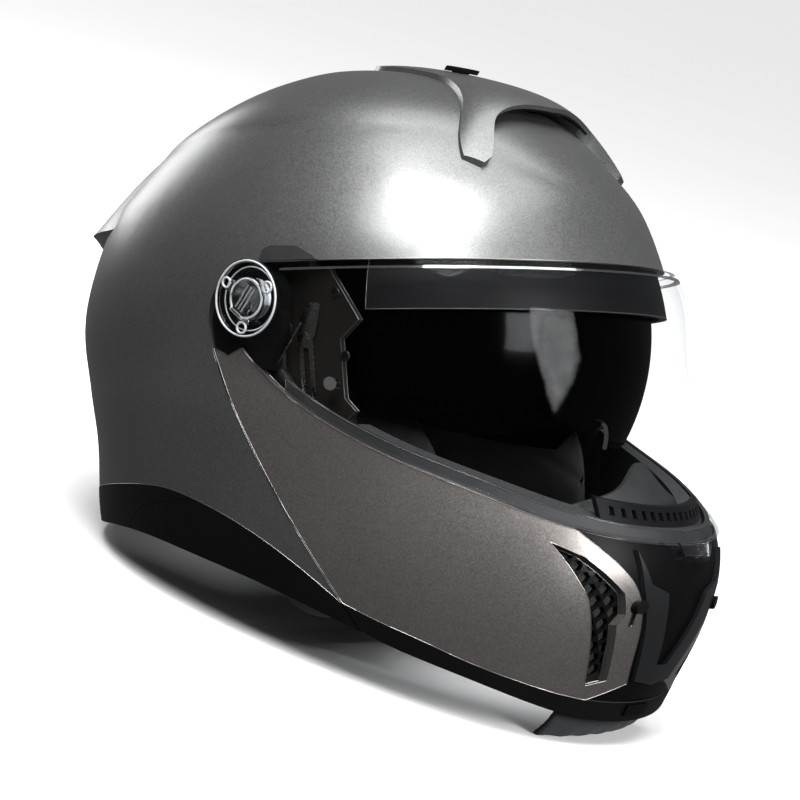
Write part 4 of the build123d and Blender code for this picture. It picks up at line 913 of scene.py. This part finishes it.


# Each lip takes a lighter finish than its part: painted highlight lines along the sharp edges.
LIPS = (
    RolledLip("outer_shell", "shell_edge_lip", Finish.LIP),
    RolledLip("chin_guard", "guard_edge_lip", Finish.LIP),
    RolledLip("rim_gasket", "gasket_edge_lip", Finish.LIP_DARK),
    RolledLip("front_panel", "panel_edge_lip", Finish.LIP_DARK),
    RolledLip("temple_plate_right", "plate_edge_lip_right", Finish.LIP_DARK),
    RolledLip("temple_plate_left", "plate_edge_lip_left", Finish.LIP_DARK),
    RolledLip("brow_frame", "brow_edge_lip", Finish.LIP_DARK),
)
SHEETS = (
    EdgedSheet("visor_shield", "shield_sheet", Finish.CLEAR, (-10.0, 0.0), False),
    EdgedSheet("sun_visor", "sun_visor_sheet", Finish.SMOKE, (-15.0, -10.0), True, 0.5),
)


# Soft lining
@dataclass(frozen=True)
class Pad:
    """A stuffed lining pad: swollen cloth round its solid, with sewn channels."""

    node: str
    name: str
    finish: Finish
    fill: float
    voxel: float
    swell: float
    channels: tuple[tuple[Triple, ...], ...] = ()
    channel_depth: float = 1.6
    channel_width: float = 2.6
    draw_in: float = 0.9
    pressure: float = 4.0
    moments: int = 16

    def swollen(self, piece: Piece) -> None:
        """Swells the pad by a cloth simulation with air pressure, capped at its swell."""
        before = points_of(piece)
        alone(piece)
        bpy.ops.object.modifier_add(type="CLOTH")
        cloth = piece.modifiers[-1]
        cloth.settings.use_pressure = True
        cloth.settings.uniform_pressure_force = self.pressure
        cloth.settings.quality = 4
        cloth.settings.effector_weights.gravity = 0.0
        cloth.point_cache.frame_start = 1
        cloth.point_cache.frame_end = self.moments
        for moment in range(1, self.moments + 1):
            bpy.context.scene.frame_set(moment)
        bpy.ops.object.modifier_apply(modifier=cloth.name)
        bpy.context.scene.frame_set(1)
        move = points_of(piece) - before
        length = np.linalg.norm(move, axis=1, keepdims=True)
        cap = self.swell / 1000
        set_points(piece, before + move * np.minimum(1.0, cap / np.maximum(length, 1e-9)))

    def sewn(self, piece: Piece) -> None:
        """Draws the cloth in along each sewn channel."""
        points = points_of(piece)
        normals = points_of(piece, "normal")
        pull = np.zeros(len(points))
        for channel in self.channels:
            line = np.array([tuple(stance.at(*place)) for place in channel])
            for start, end in zip(line[:-1], line[1:]):
                step = end - start
                share = np.clip((points - start) @ step / (step @ step), 0.0, 1.0)
                away = np.linalg.norm(points - (start + share[:, None] * step), axis=1)
                pull = np.maximum(pull, np.exp(-((away / (self.channel_width / 1000)) ** 2)))
        set_points(piece, points - normals * (pull * self.channel_depth / 1000)[:, None])

    def build(self) -> Piece:
        """Makes the pad.

        Returns:
            The finished piece.
        """
        piece = copied(self.node, self.name)
        modified(piece, "REMESH", mode="VOXEL", voxel_size=self.voxel / 1000)
        modified(piece, "SMOOTH", factor=0.5, iterations=4)
        modified(piece, "DISPLACE", strength=-self.swell / 1000 * self.draw_in, mid_level=0.0)
        self.swollen(piece)
        modified(piece, "SUBSURF", levels=1, render_levels=1)
        if self.channels:
            self.sewn(piece)
        smooth(piece, 180.0)
        reported(piece, body_of(self.node), self.finish, (self.node,))
        return piece


def arc(start: Triple, middle: Triple, end: Triple, count: int = 9) -> tuple[Triple, ...]:
    """Places on a bent line through three points.

    Args:
        start: its first place, worn, in millimetres.
        middle: a place half way along.
        end: its last place.
        count: how many places.

    Returns:
        The places.
    """
    first, mid, last = Vector(start), Vector(middle), Vector(end)
    bend = mid * 2 - (first + last) / 2
    made = []
    for index in range(count):
        share = index / (count - 1)
        point = first * (1 - share) ** 2 + bend * (2 * share * (1 - share)) + last * share**2
        made.append(tuple(point))
    return tuple(made)


CROWN_CHANNELS = (
    arc((-30.0, -82.0, 40.0), (-34.0, 15.0, 92.0), (-30.0, 122.0, 30.0), 13),
    arc((30.0, -82.0, 40.0), (34.0, 15.0, 92.0), (30.0, 122.0, 30.0), 13),
    arc((-84.0, 10.0, 22.0), (0.0, 12.0, 96.0), (84.0, 10.0, 22.0), 13),
)


def cheek_channels(sign: float) -> tuple[tuple[Triple, ...], ...]:
    """The two sewn channels of one cheek pad."""
    wide, mid = 62.0 * sign, 60.0 * sign
    return (
        arc((wide, -70.0, -84.0), (mid, -20.0, -62.0), (wide, 36.0, -70.0)),
        arc((wide, -66.0, -100.0), (mid, -16.0, -92.0), (wide, 28.0, -88.0)),
    )


PADS = (
    Pad("crown_pad", "crown_lining", Finish.LINING, 0.5, 3.0, 1.0, CROWN_CHANNELS),
    *(
        Pad(f"cheek_pad_{side}", f"cheek_lining_{side}", Finish.LINING_BRUSHED, 0.7, 2.6, 1.0,
            cheek_channels(sign), 2.0, 3.0)
        for side, sign in SIDES
    ),
    Pad("neck_roll", "neck_roll_lining", Finish.LINING_BRUSHED, 0.6, 2.4, 1.0),
)


@dataclass(frozen=True)
class ChinCurtain:
    """Stretch cloth under the chin, drawn into soft folds."""

    fold: float = 0.5
    sway: Pair = (420.0, 90.0)
    wave: Pair = (40.0, 210.0)
    voxel: float = 0.9

    def build(self) -> Piece:
        """Makes the curtain.

        Returns:
            The finished piece.
        """
        piece = copied("chin_curtain", "chin_curtain_cloth")
        modified(piece, "REMESH", mode="VOXEL", voxel_size=self.voxel / 1000)
        modified(piece, "SMOOTH", factor=0.5, iterations=3)
        points = points_of(piece)
        normals = points_of(piece, "normal")
        sway = np.sin(points[:, :2] @ np.array(self.sway))
        wave = np.sin(points[:, :2] @ np.array(self.wave))
        depth = -(0.5 + 0.5 * sway * wave) * self.fold / 1000
        set_points(piece, points + normals * depth[:, None])
        smooth(piece, 180.0)
        reported(piece, Body.GUARD.value, Finish.CURTAIN, ("chin_curtain",))
        return piece


@dataclass(frozen=True)
class ChinStrap:
    """One half of the woven chin strap."""

    side: str
    sign: float
    route: tuple[Pair, ...] = (
        (-97.4, -110.2), (-94.0, -129.0), (-74.0, -145.0), (-44.0, -150.5), (-16.2, -151.5),
    )
    along: float = -4.0
    edge: float = 0.5

    def mapped(self, piece: Piece) -> None:
        """Gives the strap its own map, in millimetres along and across it."""
        back = stance.matrix.inverted()
        worn = points_of(piece) @ np.array(back.to_3x3()).T
        worn = (worn + np.array(back.translation)) * 1000
        route = np.array([(-across * self.sign, up) for across, up in self.route])
        best = np.full(len(worn), 1e9)
        run = np.zeros(len(worn))
        walked = 0.0
        flat = worn[:, [0, 2]]
        for start, end in zip(route[:-1], route[1:]):
            step = end - start
            length = float(np.linalg.norm(step))
            share = np.clip((flat - start) @ step / length**2, 0.0, 1.0)
            away = np.linalg.norm(flat - (start + share[:, None] * step), axis=1)
            nearer = away < best
            best = np.where(nearer, away, best)
            run = np.where(nearer, walked + share * length, run)
            walked += length
        layer = piece.data.uv_layers.new(name=STRAP_MAP)
        corners = np.zeros(len(piece.data.loops), dtype=np.int64)
        piece.data.loops.foreach_get("vertex_index", corners)
        pairs = np.stack([run[corners], worn[corners, 1] - self.along], axis=1)
        layer.data.foreach_set("uv", pairs.ravel())

    def build(self) -> Piece:
        """Makes the strap.

        Returns:
            The finished piece.
        """
        node = f"chin_strap_{self.side}"
        piece = copied(node, f"strap_webbing_{self.side}")
        bevelled(piece, self.edge, 3, 45.0)
        self.mapped(piece)
        smooth(piece, 35.0)
        return reported(piece, Body.SHELL.value, Finish.WEBBING, (node,))


# Small hardware
@dataclass(frozen=True)
class Screw:
    """A small pan-head screw with a round socket."""

    radius: float = 2.6
    height: float = 1.1
    socket: float = 1.25
    rim_share: float = 0.72
    depth_share: float = 0.6
    edge: float = 0.35

    def build(self, name: str, place: Vector, outward: Vector) -> Piece:
        """Makes one screw head.

        Args:
            name: the piece's name.
            place: the middle of the head's seat, in the row frame.
            outward: the way the head faces.

        Returns:
            The screw's mesh, not yet on a body.
        """
        piece = primitive(
            name, bpy.ops.mesh.primitive_cylinder_add, vertices=32, radius=self.radius / 1000,
            depth=self.height / 1000, location=(0.0, 0.0, self.height / 2000),
        )
        bevelled(piece, self.edge, 3)
        with editing(piece, "DESELECT"):
            bpy.ops.mesh.select_mode(type="FACE")
        top = max(piece.data.polygons, key=lambda face: face.center.z * 1e3 + face.area)
        top.select = True
        bpy.ops.object.mode_set(mode="EDIT")
        rim = (self.radius - self.socket) / 1000 * self.rim_share
        bpy.ops.mesh.inset(thickness=rim, depth=0.0)
        bpy.ops.mesh.inset(thickness=WELD, depth=-self.height / 1000 * self.depth_share)
        bpy.ops.object.mode_set(mode="OBJECT")
        smooth(piece, 30.0)
        piece.matrix_world = facing_out(place, outward)
        settled(piece)
        return piece


@dataclass(frozen=True)
class TempleHardware:
    """Screws that hold the side plates and strap anchors."""

    plate_outer: float = 112.5
    places: tuple[Pair, ...] = ((-50.0, -24.0), (-44.0, 6.0), (8.0, -52.0))

    def build(self) -> list[Piece]:
        """Makes the screws on both sides.

        Returns:
            One piece per side.
        """
        made = []
        for side, sign in SIDES:
            heads = [
                Screw().build(
                    f"temple_screw_{side}_{index}",
                    stance.at(sign * self.plate_outer, along, up),
                    stance.way(sign, 0.0, 0.0),
                )
                for index, (along, up) in enumerate(self.places)
            ]
            piece = joined(heads, f"temple_screws_{side}")
            made.append(reported(piece, Body.SHELL.value, Finish.BLACKENED))
        return made


@dataclass(frozen=True)
class PivotDetails:
    """Rings, slanted ribbed block and lugs of the clear visor pivots, in a pale grey that paints
    their highlights.
    """

    ear: Pair = (-4.7, 3.8)
    turn: float = 38.0
    ring_radii: tuple[float, ...] = (18.0, 15.2, 9.4)
    ring_tubes: tuple[float, ...] = (0.55, 0.35, 0.55)
    ring_places: tuple[float, ...] = (131.3, 127.9, 130.9)
    ring_sink: float = 0.4
    rib_length: float = 13.0
    rib_width: float = 0.8
    rib_height: float = 0.7
    rib_pitch: float = 2.1
    rib_count: int = 3
    rib_edge: float = 0.22
    end_bar: Pair = (9.0, 1.6)
    end_bar_down: float = -8.6
    face: float = 132.0
    lugs: tuple[Pair, ...] = ((35.0, 2.3), (160.0, 2.6), (280.0, 2.6))
    lug_reach: float = 14.0
    lug_tube: float = 0.6
    lug_sink: float = 0.7

    def placed(self, piece: Piece, sign: float, x: float, shift: Vector) -> None:
        """Stands a piece on the pivot's outer face.

        Args:
            piece: a mesh modelled flat, its Z axis outward.
            sign: one for the wearer's left, minus one for the right.
            x: how far out, in millimetres.
            shift: its place along and up from the pivot's middle, in millimetres.
        """
        spot = stance.at(sign * x, self.ear[0] + shift.x, self.ear[1] + shift.y)
        axes = (stance.way(0.0, 1.0, 0.0), stance.way(0.0, 0.0, 1.0), stance.way(sign, 0.0, 0.0))
        piece.matrix_world = Matrix.Translation(spot) @ Matrix(axes).transposed().to_4x4()
        settled(piece)
        with editing(piece):
            bpy.ops.mesh.normals_make_consistent(inside=False)

    def rings(self, side: str, sign: float) -> list[Piece]:
        """Makes the rings of one side."""
        made = []
        for index, (radius, tube, x) in enumerate(
            zip(self.ring_radii, self.ring_tubes, self.ring_places)
        ):
            ring = primitive(
                f"pivot_ring_{side}_{index}", bpy.ops.mesh.primitive_torus_add,
                major_radius=radius / 1000, minor_radius=tube / 1000,
                major_segments=72, minor_segments=10,
            )
            smooth(ring, 60.0)
            self.placed(ring, sign, x - tube * self.ring_sink, Vector((0.0, 0.0)))
            made.append(ring)
        return made

    def ribs(self, side: str, sign: float) -> list[Piece]:
        """Makes the slanted ribs and the end bar of one side's block."""
        made = []
        angle = math.radians(self.turn)
        middle = (self.rib_count - 1) / 2
        blocks = [
            (self.rib_width, self.rib_length, (index - middle) * self.rib_pitch, 0.0)
            for index in range(self.rib_count)
        ]
        blocks.append((*self.end_bar, 0.0, self.end_bar_down))
        for index, (width, length, across, down) in enumerate(blocks):
            rib = primitive(f"pivot_rib_{side}_{index}", bpy.ops.mesh.primitive_cube_add, size=1.0)
            rib.scale = (width / 1000, length / 1000, self.rib_height / 1000)
            rib.rotation_euler = (0.0, 0.0, angle)
            settled(rib)
            bevelled(rib, self.rib_edge)
            smooth(rib, 40.0)
            shift = Vector((
                across * math.cos(angle) - down * math.sin(angle),
                across * math.sin(angle) + down * math.cos(angle),
            ))
            self.placed(rib, sign, self.face - self.rib_height * 0.5, shift)
            made.append(rib)
        return made

    def lug_heads(self, side: str, sign: float) -> list[Piece]:
        """Makes the round lug heads of one side."""
        made = []
        for index, (degrees, radius) in enumerate(self.lugs):
            angle = math.radians(degrees)
            lug = primitive(
                f"pivot_lug_{side}_{index}", bpy.ops.mesh.primitive_torus_add,
                major_radius=radius / 1000, minor_radius=self.lug_tube / 1000,
                major_segments=32, minor_segments=8,
            )
            smooth(lug, 60.0)
            shift = Vector((math.cos(angle), math.sin(angle))) * self.lug_reach
            self.placed(lug, sign, self.face - self.lug_sink, shift)
            made.append(lug)
        return made

    def build(self) -> list[Piece]:
        """Makes both pivots' details.

        Returns:
            One piece per side.
        """
        made = []
        for side, sign in SIDES:
            parts = self.rings(side, sign) + self.ribs(side, sign) + self.lug_heads(side, sign)
            piece = joined(parts, f"pivot_details_{side}")
            # Pale grey finish: painted highlights on the clear pivot.
            made.append(reported(piece, Body.GUARD.value, Finish.FROSTED))
        return made


@dataclass(frozen=True)
class PivotBar:
    """The thin bright bar that crosses in front of each pivot."""

    start: Pair = (-12.6, -28.7)
    end: Pair = (-28.0, -7.7)
    place: float = 118.2
    radius: float = 0.55
    edge: float = 0.2

    def build(self) -> list[Piece]:
        """Makes the bars.

        Returns:
            One piece per side.
        """
        made = []
        for side, sign in SIDES:
            low = stance.at(sign * self.place, *self.start)
            high = stance.at(sign * self.place, *self.end)
            run = high - low
            bar = primitive(
                f"pivot_bar_{side}", bpy.ops.mesh.primitive_cylinder_add,
                vertices=16, radius=self.radius / 1000, depth=run.length,
            )
            bevelled(bar, self.edge)
            smooth(bar, 50.0)
            bar.matrix_world = facing_out((low + high) / 2, run)
            settled(bar)
            made.append(reported(bar, Body.GUARD.value, Finish.BRUSHED))
        return made


# The studio
@dataclass(frozen=True)
class Studio:
    """Pale floor, soft lights and the camera at the photograph's place."""

    turn: float = 54.0
    distance: float = 1600.0
    height: float = -79.0
    focal_pixels: float = 3144.0
    frame_pixels: float = 800.0
    horizon: float = 473.0
    sensor: float = 36.0
    floor_width: float = 30.0
    aim_height: float = 0.14
    sun_power: float = 2.6
    sun_angle: float = 60.0
    sky_on_helmet: float = 0.13

    def floor(self) -> Piece:
        """Lays the pale floor."""
        piece = primitive("studio_floor", bpy.ops.mesh.primitive_plane_add, size=self.floor_width)
        sheet = Sheet("studio_floor")
        tint = sheet.blend(sheet.noise(3.0, 2.0), (0.86, 0.86, 0.86), (0.89, 0.89, 0.89))
        material = sheet.close(sheet.shader({"Base Color": tint, "Roughness": 0.9}))
        piece.data.materials.append(material)
        piece.visible_glossy = False
        piece.visible_diffuse = False
        return piece

    def light(self, name: str, place: Triple, size: float, power: float) -> None:
        """Hangs one soft square light that looks at the helmet.

        Args:
            name: the light's name.
            place: where it hangs, in metres in the row frame.
            size: its width in metres.
            power: its power in watts.
        """
        bpy.ops.object.light_add(type="AREA", location=place)
        lamp = bpy.context.object
        lamp.name = name
        lamp.data.shape = "SQUARE"
        lamp.data.size = size
        lamp.data.energy = power
        aim = Vector((0.0, 0.0, self.aim_height)) - Vector(place)
        lamp.rotation_euler = aim.to_track_quat("-Z", "Y").to_euler()

    def overhead(self) -> None:
        """Lights the floor evenly from a wide soft light above."""
        bpy.ops.object.light_add(type="SUN", location=(0.0, 0.0, 2.5))
        lamp = bpy.context.object
        lamp.name = "overhead_light"
        lamp.data.energy = self.sun_power
        lamp.data.angle = math.radians(self.sun_angle)

    def sky(self) -> None:
        """Sets a white backdrop that lights the helmet only weakly."""
        world = bpy.data.worlds.new("studio_sky")
        world.use_nodes = True
        tree = world.node_tree
        ground = tree.nodes["Background"]
        path = tree.nodes.new("ShaderNodeLightPath")
        strength = tree.nodes.new("ShaderNodeMapRange")
        strength.inputs["To Min"].default_value = self.sky_on_helmet
        strength.inputs["To Max"].default_value = 1.0
        tree.links.new(path.outputs["Is Camera Ray"], strength.inputs["Value"])
        tree.links.new(strength.outputs["Result"], ground.inputs["Strength"])
        ground.inputs["Color"].default_value = (1.0, 1.0, 1.0, 1.0)
        bpy.context.scene.world = world

    def camera(self) -> None:
        """Sets the camera where the photograph was taken from."""
        angle = math.radians(self.turn)
        back = Vector((-math.sin(angle), -math.cos(angle), 0.0))
        right = Vector((math.cos(angle), -math.sin(angle), 0.0))
        up = Vector((0.0, 0.0, 1.0))
        spot = back * (self.distance / 1000) + up * (self.height / 1000)
        turned = Matrix((right, up, back)).transposed().to_4x4()
        bpy.ops.object.camera_add()
        camera = bpy.context.object
        camera.name = "photo_camera"
        camera.data.sensor_width = self.sensor
        camera.data.lens = self.sensor * self.focal_pixels / self.frame_pixels
        camera.data.shift_y = (self.horizon - self.frame_pixels / 2) / self.frame_pixels
        camera.matrix_world = stance.matrix @ Matrix.Translation(spot) @ turned
        bpy.context.scene.camera = camera

    def build(self) -> None:
        """Sets up floor, lights, sky and camera."""
        self.floor()
        self.light("key_light", (-0.96, -0.26, 1.72), 1.1, 56.0)
        self.light("front_light", (-0.14, -1.80, 0.87), 0.7, 40.0)
        self.light("rim_light", (0.60, 2.10, 0.45), 0.8, 9.0)
        self.overhead()
        self.sky()
        bpy.context.scene.view_settings.view_transform = "Standard"
        self.camera()


def main() -> None:
    """Builds every piece in order."""
    logging.basicConfig(level=logging.INFO, format="%(message)s")
    bpy.ops.object.select_all(action="DESELECT")
    Studio().build()
    for part in HARD_PARTS:
        part.build()
    for sheet in SHEETS:
        sheet.build()
    ShieldLip().build()
    for lip in LIPS:
        lip.build()
    for pad in PADS:
        pad.build()
    ChinCurtain().build()
    for side, sign in SIDES:
        ChinStrap(side, sign).build()
    TempleHardware().build()
    PivotDetails().build()
    PivotBar().build()


if __name__ == "__main__":
    main()
